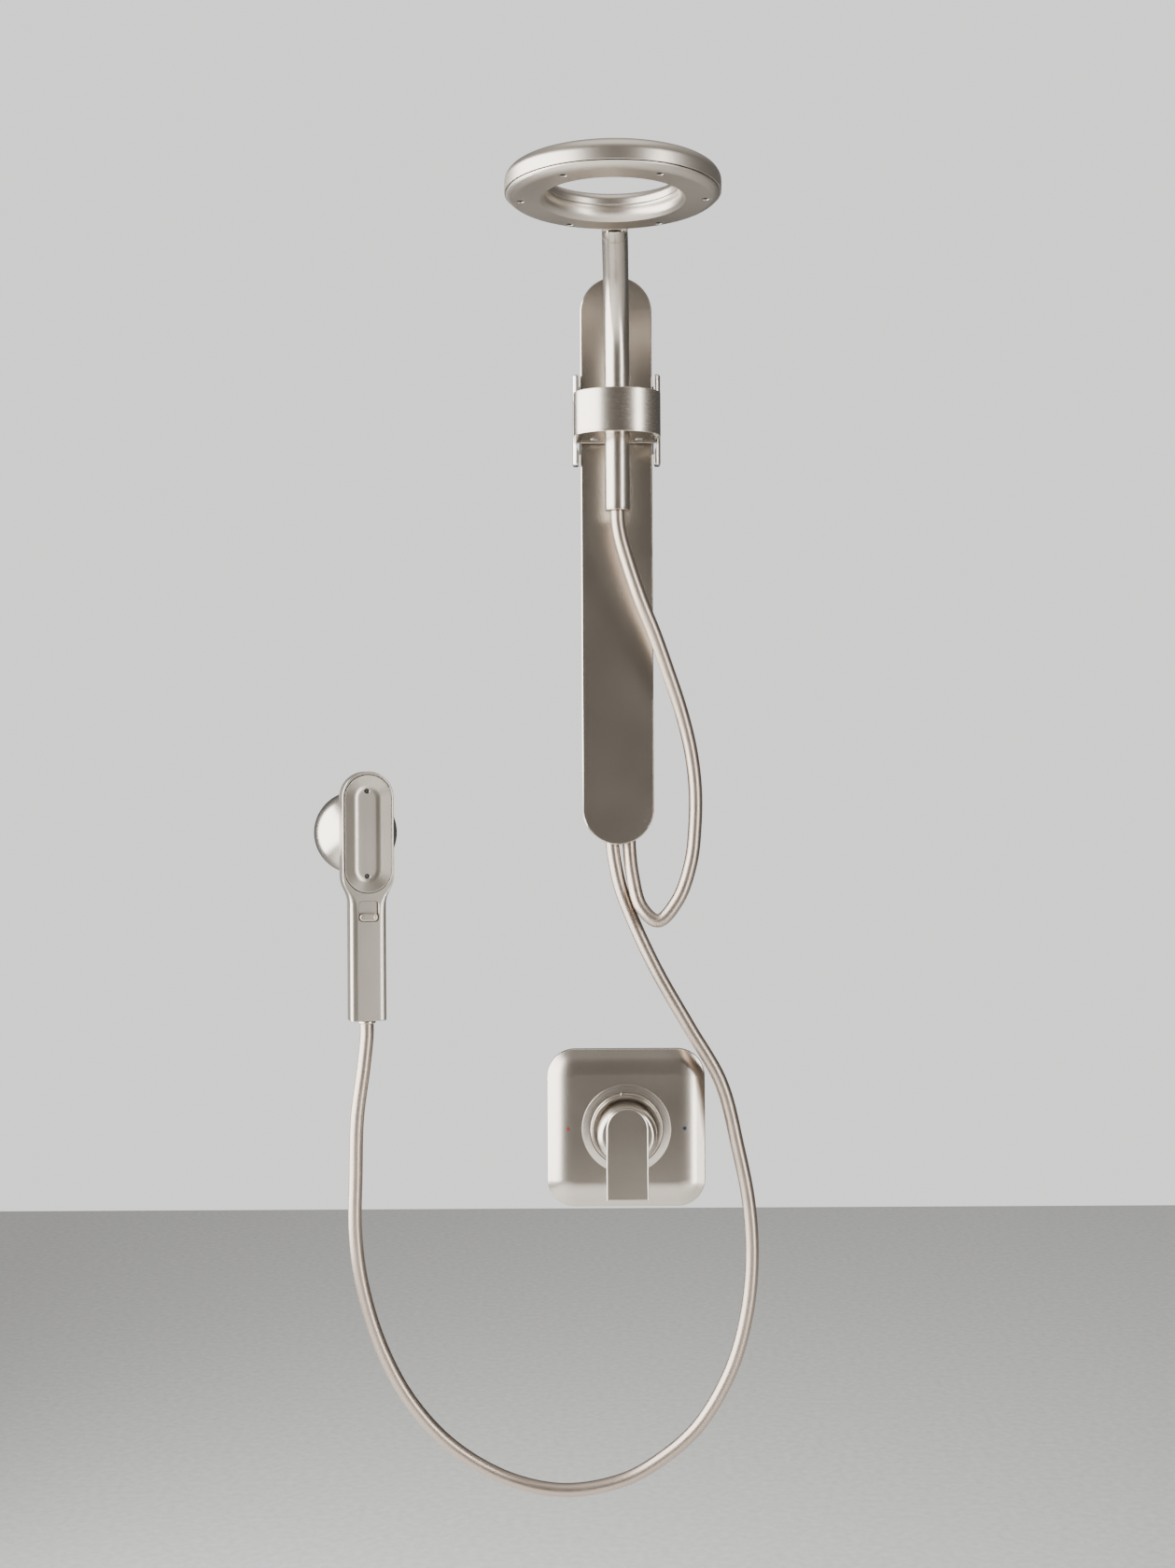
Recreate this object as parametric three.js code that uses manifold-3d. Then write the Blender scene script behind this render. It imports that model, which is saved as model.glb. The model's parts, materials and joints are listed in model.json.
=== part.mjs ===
// A wall-mounted shower set: a slide rail with a swivelling ring-shaped rain head, a hand shower on a
// domed magnetic dock, their two hoses, and the valve trim with its lever.
// Millimetres, +X right, +Y into the wall, +Z up. The wall is the plane y = 0 and the object is in y < 0.
import * as THREE from "three";
import { mergeVertices } from "three/addons/utils/BufferGeometryUtils.js";
import Module from "manifold-3d";

const wasm = await Module();
wasm.setup();

// Driving dimensions
const GAP = 0.3; // between touching pieces
const ROUND = 24; // sides of a round piece, unless it says otherwise
const HOSE_DIAMETER = 14;

const RAIL = { width: 74, bottom: -110, top: 478, back: -26, thickness: 4 };
const SPINE = { width: 44, wall: 2.5, bottom: -24, top: 398, back: -8 };
const BRACKET = { width: 38, height: 44, upper: 372, lower: 0 };
const SCREW = { shank: 2.2, head: 4.4, headDepth: 3, front: -18.6, x: 10, z: 12 };
const MANIFOLD = { width: 44, height: 44, depth: 20, z: -54, back: -3.5, nipple: 4.6 };
const OUTLET = { rainX: 11.5, handX: -6, y: -13, nutDiameter: 16.8, nutHeight: 13 };

const CARRIAGE = { z: 329, halfWidth: 45.5, front: -35, back: -20.5, web: 3.6, webHeight: 40 };
const WING = { width: 6.6, height: 94 };
const GLIDE = { width: 1.3, height: 70 };
const BRAKE = { radius: 9, front: 34 };
const DRUM = { z: 326, halfWidth: 44, nose: 33, height: 44, wall: 3 };
const DRUM_SCREW = { x: 23, y: -51, head: 4.2 };
const BUSHING = { hole: 17 };
const ARM = { y: -75, turn: -1.7, diameter: 25.4, wall: 1.6, bottom: 231, bendRadius: 110, rise: 30 };
const COLLAR = { bore: 6, plug: 10.6, below: 1.8 };
const RING = { y: -290, bottom: 476.5, height: 26.5, outer: 97.5, inner: 58.5, wall: 2 };
const SEAM = { outer: 5.5, inner: 14, gap: 0.3 };
const NOZZLE = { count: 6, ringRadius: 83, radius: 3, bore: 1.2, length: 4.7 };
const TILT = { y: -181, z: 489.1, radius: 10, pin: 6, pinLength: 23, tongue: 12, fork: 24 };

const DOCK = { x: -275.5, z: -96.5, radius: 43.5, plate: 5, plateRadius: 36, boss: 13, bossFront: 26 };
const MAGNET = { radius: 12, back: 26.4, front: 32.4 };
const KEEPER = { radius: 13, back: 46.4, front: 57.4 };
const WAND = { turn: 18, back: -41, front: -67, bottom: -191, width: 53, height: 127, handle: 37 };
const FACE = { width: 49, height: 121, thickness: 8.1, recess: 0.6, nozzleZ: 43.5, nozzle: 2.6 };
const CONNECTOR = { flange: 9, pipe: 5.7, waterWay: 6 };
const SWITCH = { z: -79, width: 20.4, height: 20.6, pillWidth: 19, pillHeight: 8.2, inside: 2.6, proud: 2.4 };

const VALVE = { x: 7, z: -407, plate: 165, corner: 29, depth: 13, border: 20, bore: 24 };
const MARKER = { x: 61, radius: 1.6, back: 8 };
const TRIM = { inner: 33.2, outer: 46.5, back: 13.3, front: 24 };
const STEM = { body: 20, bodyFront: 22, spline: 8, front: 36 };
const HUB = { radius: 30.5, back: -25, front: -58 };
const BLADE = { width: 42.6, top: 29.2, bottom: -64.6, front: -62, thickness: 12 };
const SET_SCREW = { radius: 1.9, y: -33, bottom: -28, top: -8.6 };

const MATERIALS = {
  nickel: { color: 0xa8a196, metalness: 1, roughness: 0.34 },
  satin: { color: 0xb3aca1, metalness: 0.9, roughness: 0.42 },
  steel: { color: 0x8c8f92, metalness: 1, roughness: 0.4 },
  brass: { color: 0xb08d4f, metalness: 1, roughness: 0.35 },
  plastic: { color: 0x2b2c2e, metalness: 0, roughness: 0.55 },
  rubber: { color: 0x1c1c1d, metalness: 0, roughness: 0.8 },
  red: { color: 0x8e3b2f, metalness: 0, roughness: 0.4 },
  blue: { color: 0x27344d, metalness: 0, roughness: 0.4 },
};

// Shapes

function radians(degrees) {
  return (degrees * Math.PI) / 180;
}

function solid(geometry) {
  const bare = geometry.index ? geometry.toNonIndexed() : geometry.clone();
  bare.deleteAttribute("normal");
  bare.deleteAttribute("uv");
  const merged = mergeVertices(bare, 1e-3);
  return new wasm.Manifold(
    new wasm.Mesh({
      numProp: 3,
      vertProperties: merged.attributes.position.array,
      triVerts: new Uint32Array(merged.index.array),
    }),
  );
}

function geometryOf(manifold) {
  const mesh = manifold.getMesh();
  const geometry = new THREE.BufferGeometry();
  geometry.setAttribute("position", new THREE.BufferAttribute(mesh.vertProperties, 3));
  geometry.setIndex(new THREE.BufferAttribute(mesh.triVerts, 1));
  return geometry.toNonIndexed();
}

function cut(geometry, ...tools) {
  return geometryOf(tools.reduce((left, tool) => left.subtract(solid(tool)), solid(geometry)));
}

function join(geometry, ...others) {
  return geometryOf(others.reduce((sum, other) => sum.add(solid(other)), solid(geometry)));
}

function keep(geometry, within) {
  return geometryOf(solid(geometry).intersect(solid(within)));
}

// A turned piece: profile is [radius, height] pairs, and height runs along +Z.
function turnedUp(profile, sides = ROUND) {
  const points = profile.map(([radius, height]) => new THREE.Vector2(radius, height));
  if (THREE.ShapeUtils.area(points) < 0) points.reverse();
  return new THREE.LatheGeometry(points, sides).rotateX(Math.PI / 2);
}

// The same with height running out of the wall, along -Y.
function turnedOut(profile, sides = ROUND) {
  return turnedUp(profile, sides).rotateX(Math.PI / 2);
}

// A closed ring profile, given as its corners.
function ringUp(profile, sides = ROUND) {
  return turnedUp([...profile, profile[0]], sides);
}

function discUp(radius, bottom, top, sides = ROUND) {
  return turnedUp([[0, bottom], [radius, bottom], [radius, top], [0, top]], sides);
}

function discOut(radius, from, to, sides = ROUND) {
  return turnedOut([[0, from], [radius, from], [radius, to], [0, to]], sides);
}

// An outline in X and Z, from the plane y = from out to y = to.
function slabOut(shape, from, to, curveSegments = 12) {
  const depth = from - to;
  const options = { depth, bevelEnabled: false, curveSegments };
  return new THREE.ExtrudeGeometry(shape, options).rotateX(Math.PI / 2).translate(0, from, 0);
}

// An outline in X and Y, from z = from up to z = to.
function slabUp(shape, from, to, curveSegments = 12) {
  const options = { depth: to - from, bevelEnabled: false, curveSegments };
  return new THREE.ExtrudeGeometry(shape, options).translate(0, 0, from);
}

function block(width, depth, height) {
  return new THREE.BoxGeometry(width, depth, height);
}

function roundedRectangle(width, height, radius) {
  const [x, y] = [width / 2, height / 2];
  const shape = new THREE.Shape();
  shape.moveTo(x - radius, -y);
  shape.absarc(x - radius, radius - y, radius, -Math.PI / 2, 0);
  shape.absarc(x - radius, y - radius, radius, 0, Math.PI / 2);
  shape.absarc(radius - x, y - radius, radius, Math.PI / 2, Math.PI);
  shape.absarc(radius - x, radius - y, radius, Math.PI, 1.5 * Math.PI);
  return shape;
}

function obround(width, height) {
  const radius = width / 2;
  const straight = height / 2 - radius;
  const shape = new THREE.Shape();
  shape.moveTo(radius, -straight);
  shape.absarc(0, straight, radius, 0, Math.PI);
  shape.absarc(0, -straight, radius, Math.PI, 2 * Math.PI);
  return shape;
}

function circle(radius) {
  return new THREE.Shape().absarc(0, 0, radius, 0, 2 * Math.PI);
}

// A round bar along a curve.
function bar(curve, radius, steps, sides) {
  const options = { extrudePath: curve, steps, bevelEnabled: false, curveSegments: sides / 2 };
  return new THREE.ExtrudeGeometry(circle(radius), options);
}

const root = new THREE.Group();

function piece(parent, name, material, geometry) {
  const mesh = new THREE.Mesh(geometry, new THREE.MeshStandardMaterial(MATERIALS[material]));
  mesh.name = name;
  parent.add(mesh);
  return mesh;
}

function groupAt(x, y, z, turn = 0) {
  const group = new THREE.Group();
  group.position.set(x, y, z);
  group.rotation.z = radians(turn);
  root.add(group);
  return group;
}

// Slide rail

function makeRail() {
  const height = RAIL.top - RAIL.bottom;
  const middle = (RAIL.top + RAIL.bottom) / 2;
  const front = RAIL.back - RAIL.thickness;
  const body = slabOut(obround(RAIL.width, height), RAIL.back, front + 1, 10);
  const rim = slabOut(obround(RAIL.width - 1.6, height - 1.6), front + 1, front, 10);
  piece(root, "rail_front_plate", "nickel", join(body, rim)).position.z = middle;
  piece(root, "rail_spine", "steel", spineGeometry());
  for (const [name, z] of [["upper", BRACKET.upper], ["lower", BRACKET.lower]]) {
    piece(root, `wall_bracket_${name}`, "steel", bracketGeometry()).position.z = z;
    for (const side of [-1, 1]) {
      const screw = piece(root, `wall_screw_${name}_${leftOrRight(side)}`, "steel", wallScrew());
      screw.position.set(side * SCREW.x, 0, z + side * SCREW.z);
    }
  }
}

function spineGeometry() {
  const length = SPINE.top - SPINE.bottom;
  const front = RAIL.back + GAP;
  const depth = SPINE.back - front;
  const channel = block(SPINE.width, depth, length);
  const hollow = block(SPINE.width - 2 * SPINE.wall, depth, length + 2).translate(0, SPINE.wall, 0);
  return cut(channel, hollow).translate(0, front + depth / 2, (SPINE.top + SPINE.bottom) / 2);
}

function bracketGeometry() {
  const front = RAIL.back + GAP + SPINE.wall + GAP;
  const body = block(BRACKET.width, -front, BRACKET.height).translate(0, front / 2, 0);
  const seat = -SCREW.front - SCREW.headDepth - GAP;
  const hole = join(discOut(SCREW.shank + GAP, -1, 30, 10), discOut(SCREW.head + GAP, seat, 30, 10));
  const holes = [-1, 1].map((side) => hole.clone().translate(side * SCREW.x, 0, side * SCREW.z));
  return cut(body, ...holes);
}

function wallScrew() {
  const neck = -SCREW.front - SCREW.headDepth;
  const profile = [[0, 0.2], [SCREW.shank, 0.2], [SCREW.shank, neck], [SCREW.head, neck]];
  return turnedOut([...profile, [SCREW.head, -SCREW.front], [0, -SCREW.front]], 10);
}

// Water inlet and the two hose outlets, behind the rail's lower end

function makeManifold() {
  const group = groupAt(0, 0, MANIFOLD.z);
  const middle = MANIFOLD.back - MANIFOLD.depth / 2;
  const half = MANIFOLD.height / 2;
  const plan = roundedRectangle(MANIFOLD.width, MANIFOLD.depth, 5);
  const body = slabUp(plan, -half, half, 4).translate(0, middle, 0);
  const nipple = discUp(MANIFOLD.nipple, -half - 10, 0.5 - half, 16);
  const nipples = [OUTLET.rainX, OUTLET.handX].map((x) => nipple.clone().translate(x, OUTLET.y, 0));
  piece(group, "manifold_body", "brass", join(body, ...nipples));
  piece(group, "inlet_flange", "brass", discOut(20, 0, -MANIFOLD.back - GAP, 24));
  for (const [name, x] of [["rain", OUTLET.rainX], ["hand", OUTLET.handX]]) {
    const nut = piece(group, `hose_nut_${name}`, "nickel", hoseNut());
    nut.position.set(x, OUTLET.y, -half - GAP - OUTLET.nutHeight);
  }
}

function hoseNut() {
  const outer = OUTLET.nutDiameter / 2;
  const bore = MANIFOLD.nipple + GAP;
  const top = OUTLET.nutHeight;
  return cut(
    turnedUp([[0, 0], [outer - 1, 0], [outer, 1], [outer, top], [0, top]], 20),
    discUp(bore, 2.4, top + 1, 16),
  );
}

// Carriage on the rail, with the drum that holds the arm

function makeCarriage() {
  const group = groupAt(0, 0, CARRIAGE.z);
  piece(group, "carriage_frame", "satin", carriageGeometry());
  const padX = RAIL.width / 2 + GAP + GLIDE.width / 2;
  for (const side of [-1, 1]) {
    const strip = block(GLIDE.width, RAIL.thickness, GLIDE.height);
    const pad = piece(group, `glide_pad_${leftOrRight(side)}`, "plastic", strip);
    pad.position.set(side * padX, RAIL.back - RAIL.thickness / 2 - 0.1, 0);
  }
  const front = -RAIL.back + RAIL.thickness + GAP;
  piece(group, "brake_pad", "plastic", discOut(BRAKE.radius, front, BRAKE.front, 16));
}

function leftOrRight(side) {
  return side < 0 ? "left" : "right";
}

function makeDrum() {
  const group = groupAt(0, 0, DRUM.z);
  piece(group, "dock_drum", "nickel", drumGeometry());
  piece(group, "drum_cap", "satin", drumCapGeometry());
  piece(group, "arm_bushing", "plastic", bushingGeometry());
  for (const side of [-1, 1]) {
    const screw = piece(group, `drum_screw_${leftOrRight(side)}`, "steel", drumScrew());
    screw.position.set(side * DRUM_SCREW.x, DRUM_SCREW.y, 0);
  }
}

function carriageGeometry() {
  const { halfWidth, web, front, back, webHeight } = CARRIAGE;
  const depth = back - front;
  const wings = [-1, 1].map((side) =>
    slabUp(roundedRectangle(WING.width, depth, 2.4), -WING.height / 2, WING.height / 2, 3).translate(
      side * (halfWidth - WING.width / 2), (front + back) / 2, 0,
    ),
  );
  const lips = [-1, 1].map((side) =>
    block(20, 4, webHeight).translate(side * (halfWidth - 10), RAIL.back + GAP + 2, 0),
  );
  const bridge = block(2 * halfWidth - 2, web, webHeight).translate(0, front + web / 2, 0);
  const recess = discOut(BRAKE.radius + GAP, 28, BRAKE.front + GAP, 16);
  return cut(join(bridge, ...wings, ...lips), recess);
}

// The drum's plan: straight sides out from the rail, closed by half an ellipse at the arm.
function drumPlan(inset) {
  const shape = new THREE.Shape();
  const side = DRUM.halfWidth - inset;
  const back = CARRIAGE.front - GAP;
  shape.moveTo(side, back);
  shape.lineTo(side, ARM.y);
  shape.absellipse(0, ARM.y, side, DRUM.nose - inset, 0, Math.PI, true);
  shape.lineTo(-side, back);
  return shape;
}

function drumGeometry() {
  const half = DRUM.height / 2;
  const shell = slabUp(drumPlan(0), -half, half, 14);
  const inside = slabUp(drumPlan(DRUM.wall), -half - 1, half - DRUM.wall, 14);
  const backWall = block(2 * DRUM.halfWidth - 4, DRUM.wall, DRUM.height - DRUM.wall).translate(
    0, CARRIAGE.front - GAP - DRUM.wall / 2, DRUM.wall / 2,
  );
  const hole = discUp(BUSHING.hole, 0, half + 2, 24).translate(0, ARM.y, 0);
  return cut(join(cut(shell, inside), backWall), hole);
}

function drumCapGeometry() {
  const half = DRUM.height / 2;
  const plan = drumPlan(DRUM.wall + GAP);
  const cap = slabUp(plan, 1.2 - half, 3.6 - half, 14);
  const low = block(200, 200, 20).translate(0, ARM.y, -half);
  const clearOfBackWall = block(200, 10, 60).translate(0, CARRIAGE.front - DRUM.wall - 2 * GAP + 5, 0);
  const armHole = discUp(BUSHING.hole, -30, 0, 24).translate(0, ARM.y, 0);
  const screwHoles = [-DRUM_SCREW.x, DRUM_SCREW.x].map((x) =>
    discUp(DRUM_SCREW.head + GAP, -30, 0, 10).translate(x, DRUM_SCREW.y, 0),
  );
  return cut(keep(cap, low), clearOfBackWall, armHole, ...screwHoles);
}

function drumScrew() {
  const head = DRUM_SCREW.head;
  return turnedUp([[0, -21.4], [head, -21.4], [head, -19], [2, -19], [2, -6], [0, -6]], 10);
}

function bushingGeometry() {
  const bore = ARM.diameter / 2 + GAP;
  const outer = BUSHING.hole - GAP;
  const half = DRUM.height / 2;
  const top = half - 2 * GAP;
  return ringUp([[bore, -half], [outer, -half], [outer, top], [bore, top]], 24).translate(0, ARM.y, 0);
}

// Arm: a bent tube that turns in the drum

const arm = groupAt(0, ARM.y, 0, ARM.turn);

function armCurve() {
  const rise = radians(ARM.rise);
  const bend = new THREE.Vector3(0, 0, TILT.z - (ARM.y - TILT.y) * Math.tan(rise));
  const slope = new THREE.Vector3(0, -Math.cos(rise), Math.sin(rise));
  const tangent = ARM.bendRadius * Math.tan((Math.PI / 2 - rise) / 2);
  const reach = (ARM.y - TILT.y) / Math.cos(rise) - TILT.radius - 5;
  const curve = new THREE.CurvePath();
  const into = bend.clone().addScaledVector(new THREE.Vector3(0, 0, -1), tangent);
  const out = bend.clone().addScaledVector(slope, tangent);
  curve.add(new THREE.LineCurve3(new THREE.Vector3(0, 0, ARM.bottom), into));
  const pull = (4 / 3) * Math.tan((Math.PI / 2 - rise) / 4) * ARM.bendRadius;
  const [first, second] = [into.clone().setZ(into.z + pull), out.clone().addScaledVector(slope, -pull)];
  curve.add(new THREE.CubicBezierCurve3(into, first, second, out));
  curve.add(new THREE.LineCurve3(out, bend.clone().addScaledVector(slope, reach)));
  return curve;
}

// The tube is drawn as its straight and bent stretches, so that its steps fall where it bends.
function armTube(radius, extra) {
  const [lower, bend, upper] = armCurve().curves;
  const points = [lower.v1.clone().setZ(ARM.bottom - extra), lower.v2, ...bend.getPoints(9).slice(1, -1)];
  const last = upper.v2.clone().addScaledVector(upper.v2.clone().sub(upper.v1).normalize(), extra);
  points.push(upper.v1, last);
  const frames = points.map((point, i) => {
    const before = points[Math.max(i - 1, 0)];
    const after = points[Math.min(i + 1, points.length - 1)];
    const along = after.clone().sub(before).normalize();
    return { point, across: new THREE.Vector3(1, 0, 0), up: along.clone().cross(new THREE.Vector3(1, 0, 0)) };
  });
  return sweep(frames, radius, 20);
}

// A closed round bar through rings that face along each frame.
function sweep(frames, radius, sides) {
  const rings = frames.map(({ point, across, up }) =>
    Array.from({ length: sides }, (_, i) => {
      const angle = (2 * Math.PI * i) / sides;
      const [x, y] = [radius * Math.cos(angle), radius * Math.sin(angle)];
      return point.clone().addScaledVector(across, x).addScaledVector(up, y);
    }),
  );
  const corners = [];
  const triangle = (a, b, c) => corners.push(...a.toArray(), ...b.toArray(), ...c.toArray());
  for (let i = 0; i < rings.length - 1; i++) {
    for (let j = 0; j < sides; j++) {
      const next = (j + 1) % sides;
      triangle(rings[i][j], rings[i][next], rings[i + 1][next]);
      triangle(rings[i][j], rings[i + 1][next], rings[i + 1][j]);
    }
  }
  const [first, last] = [frames[0].point, frames[frames.length - 1].point];
  for (let j = 0; j < sides; j++) {
    const next = (j + 1) % sides;
    triangle(first, rings[0][next], rings[0][j]);
    triangle(last, rings[rings.length - 1][j], rings[rings.length - 1][next]);
  }
  const geometry = new THREE.BufferGeometry();
  geometry.setAttribute("position", new THREE.Float32BufferAttribute(corners, 3));
  return geometry;
}

function makeArm() {
  const radius = ARM.diameter / 2;
  piece(arm, "arm_tube", "nickel", cut(armTube(radius, 0), armTube(radius - ARM.wall, 2)));
  const { bore, plug, below } = COLLAR;
  const rim = [[0, -below], [radius - 0.2, -below], [radius, 0.4 - below], [radius, -GAP]];
  const collar = cut(turnedUp([...rim, [plug, -GAP], [plug, 10], [0, 10]], 20), discUp(bore, -3, 6, 16));
  piece(arm, "arm_end_collar", "nickel", collar).position.z = ARM.bottom;
  piece(arm, "tilt_fork", "nickel", forkGeometry());
  const pin = piece(arm, "tilt_pin", "steel", crossBar(TILT.pin / 2, TILT.pinLength));
  pin.position.set(0, TILT.y - ARM.y, TILT.z);
}

// A round bar along X, centred on the origin.
function crossBar(radius, length, sides = 18) {
  return discUp(radius, -length / 2, length / 2, sides).rotateY(Math.PI / 2);
}

// Two cheeks beside the tongue, on a plug in the end of the tube. Their own frame has the pin at its origin.
function forkGeometry() {
  const cheeks = crossBar(TILT.radius, TILT.fork);
  const back = TILT.radius + 4.6;
  const plug = join(
    discUp(ARM.diameter / 2 - ARM.wall - GAP, -back - 12, -back + 1, 18),
    discUp(11.5, -back, -4, 18),
  ).rotateX(radians(90 - ARM.rise));
  const slot = crossBar(TILT.radius + 1.2, TILT.tongue + 2 * GAP, 20);
  const front = block(TILT.tongue + 2 * GAP, 30, 30).translate(0, -15, 0);
  const hole = crossBar(TILT.pin / 2 + GAP, 40);
  return cut(join(cheeks, plug), slot, front, hole).translate(0, TILT.y - ARM.y, TILT.z);
}

// Ring head

function ringPoint(angle, radius) {
  return [radius * Math.cos(angle), radius * Math.sin(angle)];
}

// The upper shell's section, anticlockwise from the outer seam: out over the top to the inner seam.
function upperSection(inset) {
  const { outer, inner, height } = RING;
  return [
    [outer - inset, SEAM.outer + SEAM.gap / 2], [outer - inset, height * 0.55],
    [outer - 4 - inset * 0.9, height * 0.8], [outer - 13, height - inset], [inner + 9, height - inset],
    [inner + 1.5 + inset * 0.9, height * 0.78], [inner + inset, SEAM.inner + SEAM.gap / 2],
  ];
}

// The lower shell's section, anticlockwise from the inner seam: down the flared hole and along the bottom.
function lowerSection(inset) {
  const { outer, inner } = RING;
  return [
    [inner + inset, SEAM.inner - SEAM.gap / 2], [inner + 1.8 + inset, 5.5 + inset * 0.3],
    [inner + 7 + inset * 0.4, inset], [outer - 11 - inset * 0.4, inset], [outer - 3.5 - inset, 2 + inset],
    [outer - inset, SEAM.outer - SEAM.gap / 2],
  ];
}

function shellOf(section) {
  return ringUp([...section(0), ...section(RING.wall).reverse()], 36);
}

function makeRing() {
  const head = new THREE.Group();
  head.position.set(0, RING.y - ARM.y, RING.bottom);
  arm.add(head);
  piece(head, "ring_upper_shell", "nickel", shellOf(upperSection));
  const holes = nozzleAngles().map((angle) => {
    const [x, y] = ringPoint(angle, NOZZLE.ringRadius);
    return discUp(NOZZLE.radius + GAP, -2, NOZZLE.length, 10).translate(x, y, 0);
  });
  piece(head, "ring_lower_shell", "nickel", cut(shellOf(lowerSection), ...holes));
  const gasketOuter = RING.outer - RING.wall - GAP;
  const [low, high] = [SEAM.outer + 0.5, SEAM.outer + 4];
  const gasket = [[gasketOuter - 3, low], [gasketOuter, low], [gasketOuter, high], [gasketOuter - 3, high]];
  piece(head, "ring_gasket", "rubber", ringUp(gasket, 36));
  nozzleAngles().forEach((angle, i) => {
    const [x, y] = ringPoint(angle, NOZZLE.ringRadius);
    const insert = piece(head, `rain_nozzle_${i + 1}`, "plastic", nozzleGeometry());
    insert.position.set(x, y, 0);
  });
  const tongue = piece(head, "tilt_tongue", "nickel", tongueGeometry());
  tongue.position.set(0, TILT.y - RING.y, TILT.z - RING.bottom);
}

function nozzleAngles() {
  return Array.from({ length: NOZZLE.count }, (_, i) => (i / NOZZLE.count) * 2 * Math.PI);
}

function nozzleGeometry() {
  const { bore, radius, length } = NOZZLE;
  const top = GAP + length;
  return ringUp([[bore, GAP], [radius, GAP], [radius, top], [bore, top]], 10);
}

// The tongue's own frame has the pin at its origin, and its foot meets the ring's back wall.
function tongueGeometry() {
  const toWall = TILT.y - RING.y - RING.outer;
  const eye = crossBar(TILT.radius, TILT.tongue);
  const neck = block(TILT.tongue, toWall + 6, 13).translate(0, -(toWall + 6) / 2, 0);
  const ring = discUp(RING.outer + GAP, -40, 40, 36).translate(0, RING.y - TILT.y, 0);
  const hole = crossBar(TILT.pin / 2 + GAP, 40);
  return cut(join(eye, neck), ring, hole);
}

// Hand shower dock

// The section of a half ball whose flat side is on the wall.
function hemisphere(radius) {
  const steps = 8;
  const arc = Array.from({ length: steps + 1 }, (_, i) => {
    const angle = (i / steps) * (Math.PI / 2);
    return [i < steps ? radius * Math.cos(angle) : 0, radius * Math.sin(angle)];
  });
  return [[0, 0], ...arc];
}

function makeDock() {
  const group = groupAt(DOCK.x, 0, DOCK.z);
  const { radius, plate, plateRadius, boss, bossFront } = DOCK;
  const hollow = discOut(plateRadius + GAP, -1, plate + GAP, 28);
  const bore = discOut(boss + GAP, -1, MAGNET.front + 2 * GAP, 24);
  piece(group, "dock_dome", "nickel", cut(turnedOut(hemisphere(radius), 28), hollow, bore));
  const disc = [[0, 0], [plateRadius, 0], [plateRadius, plate]];
  const profile = [...disc, [boss, plate], [boss, bossFront], [0, bossFront]];
  const seat = cut(turnedOut(profile), discOut(2.5, -1, 30, 12), discOut(5.5, 20, 30, 12));
  piece(group, "dock_wall_plate", "steel", seat);
  const screw = turnedOut([[0, 0.2], [2.2, 0.2], [2.2, 20.4], [5, 20.4], [5, 24], [0, 24]], 12);
  piece(group, "dock_screw", "steel", screw);
  piece(group, "dock_magnet", "steel", discOut(MAGNET.radius, MAGNET.back, MAGNET.front));
}

// Hand shower, in a frame whose origin is the middle of the dock's dome

const wand = groupAt(DOCK.x, 0, DOCK.z, WAND.turn);

function wandOutline(inset) {
  const shape = new THREE.Shape();
  const head = WAND.width / 2 - inset;
  const handle = WAND.handle / 2 - inset;
  const straight = WAND.height / 2 - WAND.width / 2;
  shape.moveTo(handle, WAND.bottom + inset);
  shape.lineTo(handle, -72);
  shape.bezierCurveTo(handle, -58, head, -56, head, -42);
  shape.lineTo(head, straight);
  shape.absarc(0, straight, head, 0, Math.PI);
  shape.lineTo(-head, -42);
  shape.bezierCurveTo(-head, -56, -handle, -58, -handle, -72);
  shape.lineTo(-handle, WAND.bottom + inset);
  return shape;
}

function makeWand() {
  const { back, front, bottom } = WAND;
  const body = join(
    slabOut(wandOutline(0), back - 4, front, 8),
    slabOut(wandOutline(3), back, back - 4, 8),
  );
  const cup = turnedOut(hemisphere(DOCK.radius + GAP), 28);
  const seat = front + FACE.recess + FACE.thickness + GAP;
  const dish = slabOut(obround(FACE.width + 2 * GAP, FACE.height + 2 * GAP), seat, front - 1, 9);
  const track = slabOut(roundedRectangle(SWITCH.width, SWITCH.height, 3), front + 3, front - 1, 4);
  const water = discUp(CONNECTOR.waterWay, bottom - 1, -40, 20).translate(0, (back + front) / 2, 0);
  const keeperSeat = discOut(KEEPER.radius + GAP, 46, 70);
  const shell = cut(body, cup, dish, track.translate(0, 0, SWITCH.z), water, keeperSeat);
  piece(wand, "wand_shell", "satin", shell);
  piece(wand, "wand_keeper", "steel", discOut(KEEPER.radius, KEEPER.back, KEEPER.front));
  piece(wand, "wand_face_plate", "satin", facePlateGeometry());
  for (const [name, z] of [["upper", FACE.nozzleZ], ["lower", -FACE.nozzleZ]]) {
    piece(wand, `wand_nozzle_${name}`, "plastic", wandNozzle()).position.set(0, seat, z);
  }
  const { flange, pipe } = CONNECTOR;
  const connector = turnedUp([[0, 0], [flange, 0], [flange, 2.4], [pipe, 2.4], [pipe, 20], [0, 20]], 24);
  const end = piece(wand, "wand_hose_connector", "nickel", connector);
  end.position.set(0, (back + front) / 2, bottom - 2.8);
}

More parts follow.
